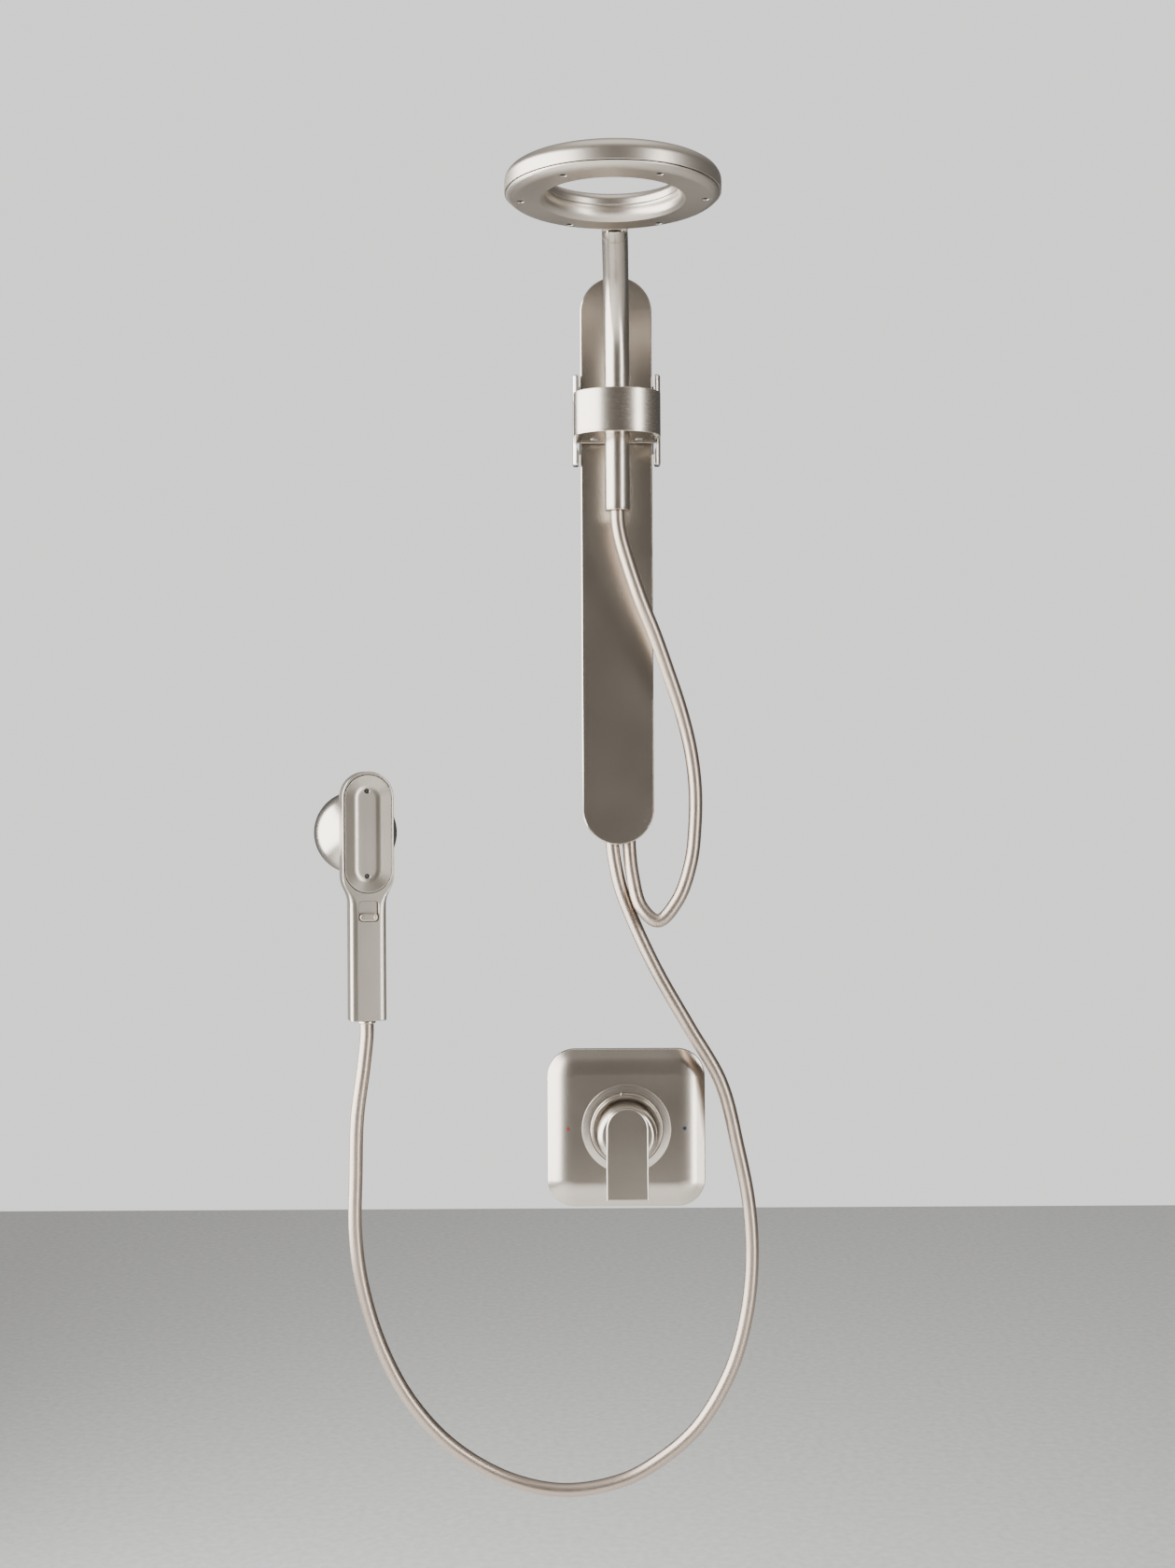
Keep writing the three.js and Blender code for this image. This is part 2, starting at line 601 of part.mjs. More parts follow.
// A shallow trough, deepest along its middle, with a hole for each nozzle.
function facePlateGeometry() {
  const { front } = WAND;
  const { width, height, thickness, recess, nozzle, nozzleZ } = FACE;
  const plate = slabOut(obround(width, height), front + recess + thickness, front + recess, 9);
  const trough = slabOut(obround(width - 22, height - 22), front + 4.6, front - 2, 9);
  const slope = slabOut(obround(width - 15, height - 15), front + 2.6, front - 2, 9);
  const hole = discOut(nozzle + GAP, -front - 12, -front + 2, 12);
  const holes = [nozzleZ, -nozzleZ].map((z) => hole.clone().translate(0, 0, z));
  return cut(plate, trough, slope, ...holes);
}

function wandNozzle() {
  const { nozzle } = FACE;
  return ringUp([[1, 0.6], [nozzle, 0.6], [nozzle, 4], [1, 4]], 12).rotateX(Math.PI / 2);
}

function makeSwitch() {
  const { front } = WAND;
  const outline = obround(SWITCH.pillHeight, SWITCH.pillWidth);
  const pill = slabOut(outline, front + SWITCH.inside, front - SWITCH.proud, 8).rotateY(Math.PI / 2);
  const bottomOfTrack = SWITCH.z - SWITCH.height / 2 + SWITCH.pillHeight / 2 + GAP;
  piece(wand, "spray_switch", "satin", pill).position.z = bottomOfTrack;
}

// Valve trim

const valve = groupAt(VALVE.x, 0, VALVE.z);

function makeValve() {
  const sheet = slabOut(roundedRectangle(VALVE.plate - 10, VALVE.plate - 10, VALVE.corner - 5), 0, -2, 4);
  piece(valve, "escutcheon_gasket", "rubber", cut(sheet, discOut(34, -2, 6)));
  piece(valve, "escutcheon", "nickel", escutcheonGeometry());
  for (const [name, material, side] of [["hot", "red", -1], ["cold", "blue", 1]]) {
    const dot = discOut(MARKER.radius, MARKER.back, VALVE.depth + 0.1, 12);
    piece(valve, `${name}_marker`, material, dot).position.x = side * MARKER.x;
  }
  const { inner, outer, back, front } = TRIM;
  const slope = [[outer, back + 0.8], [outer - 7, back + 4.3], [inner + 2.6, front - 0.6]];
  const flare = [[inner, back], [outer, back], ...slope, [inner, front]];
  piece(valve, "trim_collar", "nickel", ringUp(flare, 32).rotateX(Math.PI / 2));
  const { body, bodyFront, spline } = STEM;
  const stem = [[0, 0], [body, 0], [body, bodyFront], [spline, bodyFront], [spline, STEM.front]];
  piece(valve, "cartridge_stem", "brass", turnedOut([...stem, [0, STEM.front]]));
  piece(valve, "lever_hub", "nickel", hubGeometry());
  piece(valve, "lever_blade", "nickel", bladeGeometry(0));
  const screw = discUp(SET_SCREW.radius, SET_SCREW.bottom, SET_SCREW.top, 12);
  piece(valve, "lever_set_screw", "steel", screw).position.y = SET_SCREW.y;
}

function escutcheonGeometry() {
  const { plate, corner, depth, border } = VALVE;
  const steps = 3;
  const layers = Array.from({ length: steps }, (_, i) => {
    const angle = (i / steps) * (Math.PI / 2);
    const inset = border * (1 - Math.cos(angle));
    const [from, to] = [i, i + 1].map((n) => depth * Math.sin((n / steps) * (Math.PI / 2)));
    const size = plate - 2 * inset;
    return slabOut(roundedRectangle(size, size, corner - inset * 0.4), -from, -to, 5);
  });
  const inside = slabOut(roundedRectangle(plate - 9, plate - 9, corner - 5), 1, -2 - GAP, 4);
  const under = slabOut(roundedRectangle(plate - 44, plate - 44, corner - 10), 0, -depth + 2.6, 4);
  const bore = discOut(VALVE.bore, -1, 20);
  const marker = discOut(MARKER.radius + GAP, MARKER.back - 1, 20, 12);
  const markers = [-MARKER.x, MARKER.x].map((x) => marker.clone().translate(x, 0, 0));
  return cut(join(layers[0], ...layers.slice(1)), inside, under, bore, ...markers);
}

function hubGeometry() {
  const { radius, back, front } = HUB;
  const profile = [
    [0, -back], [radius - 1, -back], [radius, -back + 1], [radius, -front - 8],
    [radius - 2.4, -front - 2.6], [radius - 7, -front], [0, -front],
  ];
  const spline = discOut(STEM.spline + GAP, 20, STEM.front + GAP, 20);
  const screw = discUp(SET_SCREW.radius + GAP, -40, 0, 12).translate(0, SET_SCREW.y, 0);
  return cut(turnedOut(profile, 28), spline, screw, bladeGeometry(GAP));
}

function bladeGeometry(grow) {
  const half = BLADE.width / 2 + grow;
  const centre = BLADE.top - BLADE.width / 2;
  const outline = (inset) => {
    const shape = new THREE.Shape();
    shape.moveTo(half - inset, BLADE.bottom - grow + inset);
    shape.lineTo(half - inset, centre);
    shape.absarc(0, centre, half - inset, 0, Math.PI);
    shape.lineTo(inset - half, BLADE.bottom - grow + inset);
    return shape;
  };
  const back = BLADE.front + BLADE.thickness + grow;
  return join(
    slabOut(outline(0), back, BLADE.front + 1, 10),
    slabOut(outline(0.8), BLADE.front + 1, BLADE.front, 10),
  );
}

// Hoses, each along its hand-laid route

const RAIN_ROUTE = [
  [0, -75, 228.8], [0.6, -75, 216], [3, -75, 202], [10, -72, 178], [22.5, -66, 142], [37, -58, 107],
  [50.5, -50, 70], [65, -42, 27], [75, -36, -14], [79.5, -33, -53], [79, -32, -91], [74.5, -32, -129],
  [61, -32, -167], [40.5, -31, -189], [23.5, -27, -175], [14.5, -20, -142], [11.5, -13.5, -112],
  [11.5, -13, -98], [11.5, -13, -89.7],
];

const HAND_ROUTE = [
  [-6, -13, -89.7], [-6, -13, -98], [-6, -13, -112], [1, -14, -151], [14, -16, -187], [39, -21, -241],
  [72, -26, -299], [105, -28, -357], [122, -28, -424], [133, -28, -482], [136, -28, -540], [130, -28, -598],
  [113, -28, -656], [79, -28, -713], [40, -28, -747], [1, -28, -768], [-58, -28, -778], [-116, -29, -766],
  [-174, -33, -731], [-218, -38, -681], [-248, -42, -622], [-266, -46, -558], [-272, -49, -504],
  [-271, -51, -446], [-269, -53, -388], [-262, -52.5, -334], [-258.8, -51.4, -302], [-258.8, -51.4, -290.7],
];

function hose(route, steps) {
  const points = route.map(([x, y, z]) => new THREE.Vector3(x, y, z));
  return bar(new THREE.CatmullRomCurve3(points, false, "centripetal"), HOSE_DIAMETER / 2, steps, 8);
}

makeRail();
makeManifold();
makeCarriage();
makeDrum();
makeArm();
makeRing();
makeDock();
makeWand();
makeSwitch();
makeValve();
piece(root, "rain_hose", "nickel", hose(RAIN_ROUTE, 32));
piece(root, "hand_hose", "nickel", hose(HAND_ROUTE, 48));

export default root;
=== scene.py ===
"""The looks of a wall-mounted shower set: a slide rail with a swivelling ring head, a hand shower on a domed
dock, two hoses and the valve trim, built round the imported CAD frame.

The frame is in metres, with +X right, +Y into the wall and +Z up. Pieces are drawn in millimetres in a frame
of their own, as an outline in X and Y with its height along Z, and OUT turns that height out of the wall.
"""

import json
import math

import bmesh
import bpy
import numpy as np
from mathutils import Matrix, Vector


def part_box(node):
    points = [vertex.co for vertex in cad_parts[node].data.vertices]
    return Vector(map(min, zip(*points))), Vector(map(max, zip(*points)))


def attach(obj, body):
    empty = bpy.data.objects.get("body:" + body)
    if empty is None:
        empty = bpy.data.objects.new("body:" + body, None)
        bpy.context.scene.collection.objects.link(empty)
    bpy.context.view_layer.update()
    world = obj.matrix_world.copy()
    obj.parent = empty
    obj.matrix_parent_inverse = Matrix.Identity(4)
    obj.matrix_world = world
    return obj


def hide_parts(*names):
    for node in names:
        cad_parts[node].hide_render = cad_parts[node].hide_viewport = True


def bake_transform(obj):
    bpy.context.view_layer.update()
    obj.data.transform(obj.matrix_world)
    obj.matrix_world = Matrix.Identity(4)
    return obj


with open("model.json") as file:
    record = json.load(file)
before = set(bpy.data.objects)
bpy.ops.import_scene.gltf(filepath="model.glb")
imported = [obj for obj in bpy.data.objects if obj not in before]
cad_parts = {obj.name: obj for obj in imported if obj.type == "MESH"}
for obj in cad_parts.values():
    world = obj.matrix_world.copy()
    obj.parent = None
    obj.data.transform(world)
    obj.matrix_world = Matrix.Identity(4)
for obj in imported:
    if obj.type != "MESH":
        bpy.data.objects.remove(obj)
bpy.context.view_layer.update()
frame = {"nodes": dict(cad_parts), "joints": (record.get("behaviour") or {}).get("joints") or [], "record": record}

MM = 0.001
OUT = Matrix.Rotation(math.radians(90), 4, "X")  # local height runs out of the wall, and local Y runs up
ACROSS = Matrix.Rotation(math.radians(90), 4, "Y")  # local height runs along X

JOINTS = {joint["name"]: joint for joint in frame["joints"]}
BODY_OF = {node: body for body, nodes in frame["record"]["behaviour"]["bodies"].items() for node in nodes}


class Box:
    """A CAD node's box at rest, in millimetres."""

    def __init__(self, node):
        low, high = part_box(node)
        self.left, self.front, self.bottom = (value / MM for value in low)
        self.right, self.back, self.top = (value / MM for value in high)
        self.x, self.y, self.z = (value / MM for value in (low + high) / 2)
        self.width, self.depth, self.height = (value / MM for value in high - low)

    def at_back(self):
        """The middle of the box's back, with the height running out of the wall."""
        return at(self.x, self.back, self.z) @ OUT

    def at_bottom(self):
        return at(self.x, self.y, self.bottom)


def at(x, y, z, turn=0.0):
    """A frame at a point in millimetres, turned about Z."""
    return Matrix.Translation(Vector((x, y, z)) * MM) @ Matrix.Rotation(turn, 4, "Z")


def add_object(name, data):
    added = bpy.data.objects.new(name, data)
    bpy.context.scene.collection.objects.link(added)
    return added


# The camera

CAMERA_PLACE = (-0.0318, -1.990, -0.047)
CAMERA_ROLL = math.radians(0.3)
CAMERA_LENS = 43.5


def make_camera():
    data = bpy.data.cameras.new("camera")
    data.lens = CAMERA_LENS
    camera = add_object("camera", data)
    level = Matrix.Rotation(CAMERA_ROLL, 4, "Y") @ Matrix.Rotation(math.radians(90), 4, "X")
    camera.matrix_world = Matrix.Translation(CAMERA_PLACE) @ level
    bpy.context.scene.camera = camera


# Outlines and profiles

def ellipse(x, y, wide, high, start, end, steps=14):
    """Points on an ellipse, with the angles in degrees."""
    turns = [math.radians(start + (end - start) * i / steps) for i in range(steps + 1)]
    return [(x + wide * math.cos(turn), y + high * math.sin(turn)) for turn in turns]


def arc(x, y, radius, start, end, steps):
    return ellipse(x, y, radius, radius, start, end, steps)


def rounded(corners, steps=6, closed=False):
    """The line through the corners, with an arc at each corner that gives a radius."""
    points = []
    last = len(corners) - 1
    for i, corner in enumerate(corners):
        point = Vector(corner[:2])
        if len(corner) < 3 or (not closed and i in (0, last)):
            points.append(tuple(point))
            continue
        radius = corner[2]
        before = (Vector(corners[i - 1][:2]) - point).normalized()
        after = (Vector(corners[(i + 1) % len(corners)][:2]) - point).normalized()
        half = before.angle(after) / 2
        centre = point + (before + after).normalized() * radius / math.sin(half)
        start = point + before * radius / math.tan(half) - centre
        end = point + after * radius / math.tan(half) - centre
        first = math.atan2(start.y, start.x)
        sweep = (math.atan2(end.y, end.x) - first + math.pi) % (2 * math.pi) - math.pi
        turns = [first + sweep * k / steps for k in range(steps + 1)]
        points += [tuple(centre + radius * Vector((math.cos(turn), math.sin(turn)))) for turn in turns]
    return points


def obround(width, height, steps=40):
    radius = width / 2
    straight = height / 2 - radius
    return arc(0, straight, radius, 0, 180, steps) + arc(0, -straight, radius, 180, 360, steps)


def pill(width, height, steps=20):
    """An obround that lies along X."""
    return [(-y, x) for x, y in obround(height, width, steps)]


def quarter(radius, steps):
    """A quarter circle from its equator up to the axis."""
    points = arc(0, 0, radius, 0, 90, steps)
    return [*points[:-1], (0, radius)]


def rounded_square(width, height, radius, steps=16):
    x, y = width / 2, height / 2
    corners = [(x, -y, radius), (x, y, radius), (-x, y, radius), (-x, -y, radius)]
    return rounded(corners, steps, closed=True)


def anticlockwise(outline):
    area = sum(a[0] * b[1] - b[0] * a[1] for a, b in zip(outline, outline[1:] + outline[:1]))
    return outline if area > 0 else outline[::-1]


def inward(outline):
    """The way in from each point of an anticlockwise outline, long enough to move both its sides by 1."""
    points = np.array(outline)
    sides = np.roll(points, -1, 0) - points
    sides /= np.linalg.norm(sides, axis=1)[:, None]
    normals = np.stack([-sides[:, 1], sides[:, 0]], 1)
    middle = normals + np.roll(normals, 1, 0)
    middle /= np.linalg.norm(middle, axis=1)[:, None]
    reach = np.clip((middle * normals).sum(1), 0.5, 1)
    return middle / reach[:, None]


# Meshes

def shade(mesh, sharp=32):
    mesh.shade_smooth()
    mesh.set_sharp_from_angle(angle=math.radians(sharp))


def make_mesh(name, points, faces, place, sharp=32):
    mesh = bpy.data.meshes.new(name)
    mesh.from_pydata([Vector(point) * MM for point in points], [], faces)
    edit = bmesh.new()
    edit.from_mesh(mesh)
    bmesh.ops.remove_doubles(edit, verts=edit.verts, dist=1e-7)
    bmesh.ops.dissolve_degenerate(edit, edges=edit.edges, dist=1e-7)
    bmesh.ops.recalc_face_normals(edit, faces=edit.faces)
    if edit.calc_volume(signed=True) < 0:
        bmesh.ops.reverse_faces(edit, faces=edit.faces)
    layer = edit.loops.layers.uv.new("plan")
    for face in edit.faces:
        for loop in face.loops:
            loop[layer].uv = (loop.vert.co.x * 10, loop.vert.co.y * 10)
    edit.to_mesh(mesh)
    edit.free()
    shade(mesh, sharp)
    piece = add_object(name, mesh)
    piece.matrix_world = place
    return piece


def ring_faces(rings, count, closed):
    """Faces from each ring of points to the next, and from the last to the first where the skin closes."""
    pairs = [(i, (i + 1) % rings) for i in range(rings if closed else rings - 1)]
    return [
        (a * count + j, a * count + (j + 1) % count, b * count + (j + 1) % count, b * count + j)
        for a, b in pairs
        for j in range(count)
    ]


def loft(name, rings, place, capped=True):
    """A skin over rings of as many points each, closed by two caps or else back to the first ring."""
    count = len(rings[0])
    faces = ring_faces(len(rings), count, not capped)
    if capped:
        faces.append(tuple(range(count)))
        faces.append(tuple(range((len(rings) - 1) * count, len(rings) * count)))
    return make_mesh(name, [point for ring in rings for point in ring], faces, place)


def slab(name, outline, edge, place, capped=True):
    """An outline whose edge follows a profile of (inset, height) pairs."""
    outline = anticlockwise(outline)
    ways = inward(outline)
    rings = [
        [(x + inset * way[0], y + inset * way[1], height) for (x, y), way in zip(outline, ways)]
        for inset, height in edge
    ]
    return loft(name, rings, place, capped)


def turned(name, profile, place, segments=96, closed=False):
    """A piece turned about local Z from (radius, height) pairs. An open profile has its ends on the axis."""
    turns = [2 * math.pi * j / segments for j in range(segments)]
    points = [(r * math.cos(a), r * math.sin(a), h) for r, h in profile for a in turns]
    return make_mesh(name, points, ring_faces(len(profile), segments, closed), place)


def spun(name, corners, place, segments=96, closed=False, steps=5):
    """A turned piece whose corners may give a radius."""
    return turned(name, rounded(corners, steps, closed), place, segments, closed)


def disc(name, radius, low, high, place, segments=96, soft=0.5):
    """A round bar along local Z with softened rims."""
    corners = [(0, low), (radius, low, soft), (radius, high, soft), (0, high)]
    return spun(name, corners, place, segments)


def drill(radius, low, high, place, segments=96):
    """A plain round bar along local Z, to cut a hole with."""
    return spun("drill", [(0, low), (radius, low), (radius, high), (0, high)], place, segments)


def carve(piece, *tools, operation="DIFFERENCE"):
    """Cuts the tools out of a piece, or joins them to it, and removes them."""
    for tool in tools:
        modifier = piece.modifiers.new("carve", "BOOLEAN")
        modifier.object = tool
        modifier.operation = operation
        modifier.solver = "MANIFOLD"
    view = bpy.context.evaluated_depsgraph_get()
    view.update()
    mesh = bpy.data.meshes.new_from_object(piece.evaluated_get(view))
    piece.modifiers.clear()
    piece.data = mesh
    shade(mesh)
    for tool in tools:
        bpy.data.objects.remove(tool)
    return piece


def dress(piece, node, finish, *also):
    """The piece stands for its CAD node, moves with that node's body and takes a finish."""
    piece.data.materials.clear()
    piece.data.materials.append(finish)
    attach(piece, BODY_OF[node])
    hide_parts(node, *also)
    return piece


def flatten(piece):
    """Keeps wide flat faces flat beside their small rounded edges."""
    modifier = piece.modifiers.new("flat faces", "WEIGHTED_NORMAL")
    modifier.keep_sharp = True
    return piece


# Finishes

BUMP_HEIGHT = 0.0002


class Nodes:
    """A material's node tree with short ways to add nodes to it."""

    def __init__(self, name, slot):
        self.material = bpy.data.materials.new(name)
        self.material.use_nodes = True
        self.material["slot"] = slot
        self.tree = self.material.node_tree
        self.shader = self.tree.nodes["Principled BSDF"]

    def add(self, kind, values=None, **settings):
        node = self.tree.nodes.new(kind)
        for key, value in settings.items():
            setattr(node, key, value)
        for socket, value in (values or {}).items():
            if isinstance(value, bpy.types.NodeSocket):
                self.tree.links.new(value, node.inputs[socket])
            else:
                node.inputs[socket].default_value = value
        return node

    def link(self, output, socket):
        self.tree.links.new(output, self.shader.inputs[socket])

    def set(self, **values):
        for socket, value in values.items():
            self.shader.inputs[socket.replace("_", " ").title()].default_value = value

    def noise(self, vector, scale, detail=3.0, roughness=0.5):
        values = {"Vector": vector, "Scale": scale, "Detail": detail, "Roughness": roughness}
        return self.add("ShaderNodeTexNoise", values).outputs["Fac"]

    def spread(self, value, low, high, start=0.3, end=0.7):
        values = {"Value": value, "From Min": start, "From Max": end, "To Min": low, "To Max": high}
        return self.add("ShaderNodeMapRange", values).outputs["Result"]

    def texture(self, height, color, shade, strength):
        """A texture that darkens the colour where it is low, and raises the surface where it is high."""
        tint = self.add("ShaderNodeMix", {"Factor": self.spread(height, 0, 1)}, data_type="RGBA")
        tint.inputs[6].default_value = (*(part * shade for part in color), 1)
        tint.inputs[7].default_value = (*color, 1)
        self.link(tint.outputs[2], "Base Color")
        values = {"Strength": strength, "Distance": BUMP_HEIGHT, "Height": height}
        self.link(self.add("ShaderNodeBump", values).outputs["Normal"], "Normal")

    def stretched(self, scale):
        place = self.add("ShaderNodeTexCoord").outputs["Object"]
        return self.add("ShaderNodeMapping", {"Vector": place, "Scale": scale}).outputs["Vector"]

    def turned_place(self):
        """Coordinates that change with the distance from local Z and with height, and not round the axis."""
        place = self.add("ShaderNodeTexCoord").outputs["Object"]
        parts = self.add("ShaderNodeSeparateXYZ", {"Vector": place}).outputs
        flat = self.add("ShaderNodeCombineXYZ", {"X": parts["X"], "Y": parts["Y"]}).outputs["Vector"]
        radius = self.add("ShaderNodeVectorMath", {0: flat}, operation="LENGTH").outputs["Value"]
        return self.add("ShaderNodeCombineXYZ", {"X": radius, "Z": parts["Z"]}).outputs["Vector"]


FINE_SCRATCHES, COARSE_SCRATCHES, WEAR_CLOUDS = 9000, 2200, 14  # to the metre
EVEN = (1, 1, 1)
TANGENTS = {
    "turned": {"direction_type": "RADIAL", "axis": "Z"},
    "plan": {"direction_type": "UV_MAP", "uv_map": "plan"},
}


def brushed(name, slot, color, roughness, grain, lines=0.008, anisotropy=0.45, tangent=None):
    """Brushed and plated metal: fine scratches along the grain, faint clouds of wear, and a highlight that
    the grain spreads. grain scales the scratches along X, Y and Z, or is None for rings round local Z."""
    nodes = Nodes(name, slot)
    scratches, coarse = (
        nodes.noise(nodes.turned_place() if grain is None else nodes.stretched(grain), scale, 2)
        for scale in (FINE_SCRATCHES, COARSE_SCRATCHES)
    )
    clouds = nodes.noise(nodes.stretched(EVEN), WEAR_CLOUDS, 3, 0.5)
    fine_change, cloud_change = 0.025, 0.012
    fine = nodes.spread(scratches, -fine_change, fine_change)
    wide = nodes.spread(clouds, roughness - cloud_change, roughness + cloud_change)
    rough = nodes.add("ShaderNodeMath", {0: fine, 1: wide}, operation="ADD").outputs["Value"]
    nodes.link(rough, "Roughness")
    nodes.texture(coarse, color, 0.93, lines)
    nodes.set(metallic=1.0, anisotropic=anisotropy)
    if tangent:
        nodes.link(nodes.add("ShaderNodeTangent", **TANGENTS[tangent]).outputs["Tangent"], "Tangent")
    return nodes.material


def moulded(name, slot, color, roughness, grain=900.0, depth=0.15, metallic=0.0, coat=0.0):
    """A moulded, cast or enamelled surface with a fine even texture."""
    nodes = Nodes(name, slot)
    place = nodes.stretched(EVEN)
    texture = nodes.noise(place, grain, 3)
    clouds = nodes.noise(place, 60, 4)
    nodes.link(nodes.spread(clouds, roughness - 0.02, roughness + 0.02), "Roughness")
    nodes.texture(texture, color, 0.86, depth)
    nodes.set(metallic=metallic, coat_weight=coat, coat_roughness=0.1)
    return nodes.material


NICKEL = (0.52, 0.465, 0.40)
SATIN = (0.62, 0.575, 0.515)
SHELL = (0.46, 0.415, 0.355)
ZINC = (0.5, 0.5, 0.5)
ALUMINIUM = (0.56, 0.56, 0.56)
HOSE = (0.45, 0.37, 0.305)
BRASS = (0.62, 0.45, 0.2)

plate_nickel = brushed("nickel_plate", "nickel_aluminium", NICKEL, 0.24, (1, 0.02, 1), tangent="plan")
turned_nickel = brushed("nickel_turned", "nickel_steel", NICKEL, 0.26, None, tangent="turned")
ring_nickel = brushed("nickel_ring", "nickel_steel", NICKEL, 0.33, None, tangent="turned")
arm_nickel = brushed(
    "nickel_tube", "nickel_steel", NICKEL, 0.27, (0.4, 0.4, 1), anisotropy=0.3, tangent="turned",
)
drum_nickel = brushed("nickel_drum", "nickel_aluminium", NICKEL, 0.25, (0.02, 0.02, 1), tangent="turned")
wing_nickel = brushed("nickel_cast", "nickel_aluminium", SATIN, 0.33, (1, 1, 0.04), anisotropy=0.2)
satin_shell = brushed("nickel_satin", "nickel_plated_plastic", SHELL, 0.33, EVEN, anisotropy=0.0)
hose_skin = moulded("hose_metallic", "hose_skin", HOSE, 0.36, 4000, 0.0, metallic=1.0)
spine_metal = brushed("spine_aluminium", "spine_aluminium", ALUMINIUM, 0.4, (1, 1, 0.02), anisotropy=0.3)
steel = brushed("zinc_steel", "steel", ZINC, 0.32, None, tangent="turned")
flat_steel = brushed("zinc_steel_flat", "steel", ZINC, 0.36, EVEN, anisotropy=0.0)
brass = moulded("brass_cast", "brass", BRASS, 0.35, 700, 0.2, metallic=1.0)
plastic = moulded("plastic_dark", "dark_plastic", (0.022, 0.022, 0.024), 0.45)
rubber = moulded("rubber_dark", "rubber", (0.016, 0.016, 0.016), 0.65)
red_enamel = moulded("enamel_red", "hot_enamel", (0.27, 0.035, 0.02), 0.25, coat=0.6)
blue_enamel = moulded("enamel_blue", "cold_enamel", (0.012, 0.022, 0.07), 0.25, coat=0.6)


# Hoses. The points are the hoses' routes, in metres, and the hose runs smoothly through them.

HOSE_DIAMETER = 0.014
HOSE_SPACING = 0.0035

RAIN_ROUTE = [
    (0, -0.075, 0.2288), (0.0006, -0.075, 0.216), (0.003, -0.075, 0.202), (0.010, -0.072, 0.178),
    (0.0225, -0.066, 0.142), (0.037, -0.058, 0.107), (0.0505, -0.050, 0.070), (0.065, -0.042, 0.027),
    (0.075, -0.036, -0.014), (0.0795, -0.033, -0.053), (0.079, -0.032, -0.091), (0.0745, -0.032, -0.129),
    (0.061, -0.032, -0.167), (0.0405, -0.031, -0.189), (0.0235, -0.027, -0.175), (0.0145, -0.020, -0.142),
    (0.0115, -0.0135, -0.112), (0.0115, -0.013, -0.098), (0.0115, -0.013, -0.0897),
]

HAND_ROUTE = [
    (-0.006, -0.013, -0.0897), (-0.006, -0.013, -0.098), (-0.006, -0.013, -0.112), (0.001, -0.014, -0.151),
    (0.014, -0.016, -0.187), (0.039, -0.021, -0.241), (0.072, -0.026, -0.299), (0.105, -0.028, -0.357),
    (0.122, -0.028, -0.424), (0.133, -0.028, -0.482), (0.136, -0.028, -0.540), (0.130, -0.028, -0.598),
    (0.113, -0.028, -0.656), (0.079, -0.028, -0.713), (0.040, -0.028, -0.747), (0.001, -0.028, -0.768),
    (-0.058, -0.028, -0.778), (-0.116, -0.029, -0.766), (-0.174, -0.033, -0.731), (-0.218, -0.038, -0.681),
    (-0.248, -0.042, -0.622), (-0.266, -0.046, -0.558), (-0.272, -0.049, -0.504), (-0.271, -0.051, -0.446),
    (-0.269, -0.053, -0.388), (-0.262, -0.0525, -0.334), (-0.2588, -0.0514, -0.302),
    (-0.2588, -0.0514, -0.2907),
]


def smooth_line(route, spacing):
    """Points along a centripetal Catmull-Rom curve through the route."""
    points = [Vector(point) for point in route]
    points = [2 * points[0] - points[1], *points, 2 * points[-1] - points[-2]]
    line = []
    for a, b, c, d in zip(points, points[1:], points[2:], points[3:]):
        knots = [0.0]
        for first, second in ((a, b), (b, c), (c, d)):
            knots.append(knots[-1] + math.sqrt((second - first).length))
        steps = max(2, round((c - b).length / spacing))
        for i in range(steps):
            t = knots[1] + (knots[2] - knots[1]) * i / steps
            one = a.lerp(b, (t - knots[0]) / (knots[1] - knots[0]))
            two = b.lerp(c, (t - knots[1]) / (knots[2] - knots[1]))
            three = c.lerp(d, (t - knots[2]) / (knots[3] - knots[2]))
            left = one.lerp(two, (t - knots[0]) / (knots[2] - knots[0]))
            right = two.lerp(three, (t - knots[1]) / (knots[3] - knots[1]))
            line.append(left.lerp(right, (t - knots[1]) / (knots[2] - knots[1])))
    return [*line, points[-2].copy()]


def tube(name, line, radius, place, sides=28):
    """A round bar along a line in millimetres, without twist."""
    ways = [(b - a).normalized() for a, b in zip([line[0], *line], [*line[1:], line[-1] * 2 - line[-2]])]
    ways[0] = (line[1] - line[0]).normalized()
    side = ways[0].orthogonal().normalized()
    rings = []
    for point, way in zip(line, ways):
        side = (side - way * side.dot(way)).normalized()
        other = way.cross(side)
        rings.append([
            point + radius * (math.cos(turn) * side + math.sin(turn) * other)
            for turn in (2 * math.pi * j / sides for j in range(sides))
        ])
    return loft(name, rings, place)


def make_hose(name, route):
    line = smooth_line(route, HOSE_SPACING)
    hose = tube(name, [point / MM for point in line], HOSE_DIAMETER / MM / 2, Matrix.Identity(4))
    hose.data.materials.append(hose_skin)
    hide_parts(name.replace("_skin", ""))
    return hose, line


def make_rain_hose():
    """The hose from its outlet up to the arm, drawn where it hangs at rest."""
    hose, line = make_hose("rain_hose_skin", RAIN_ROUTE)
    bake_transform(hose)


def make_hand_hose():
    """The hose from its outlet to the hand shower, drawn where it hangs at rest."""
    hose = make_hose("hand_hose_skin", HAND_ROUTE)[0]
    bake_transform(hose)


# Rail, wall brackets and water outlets

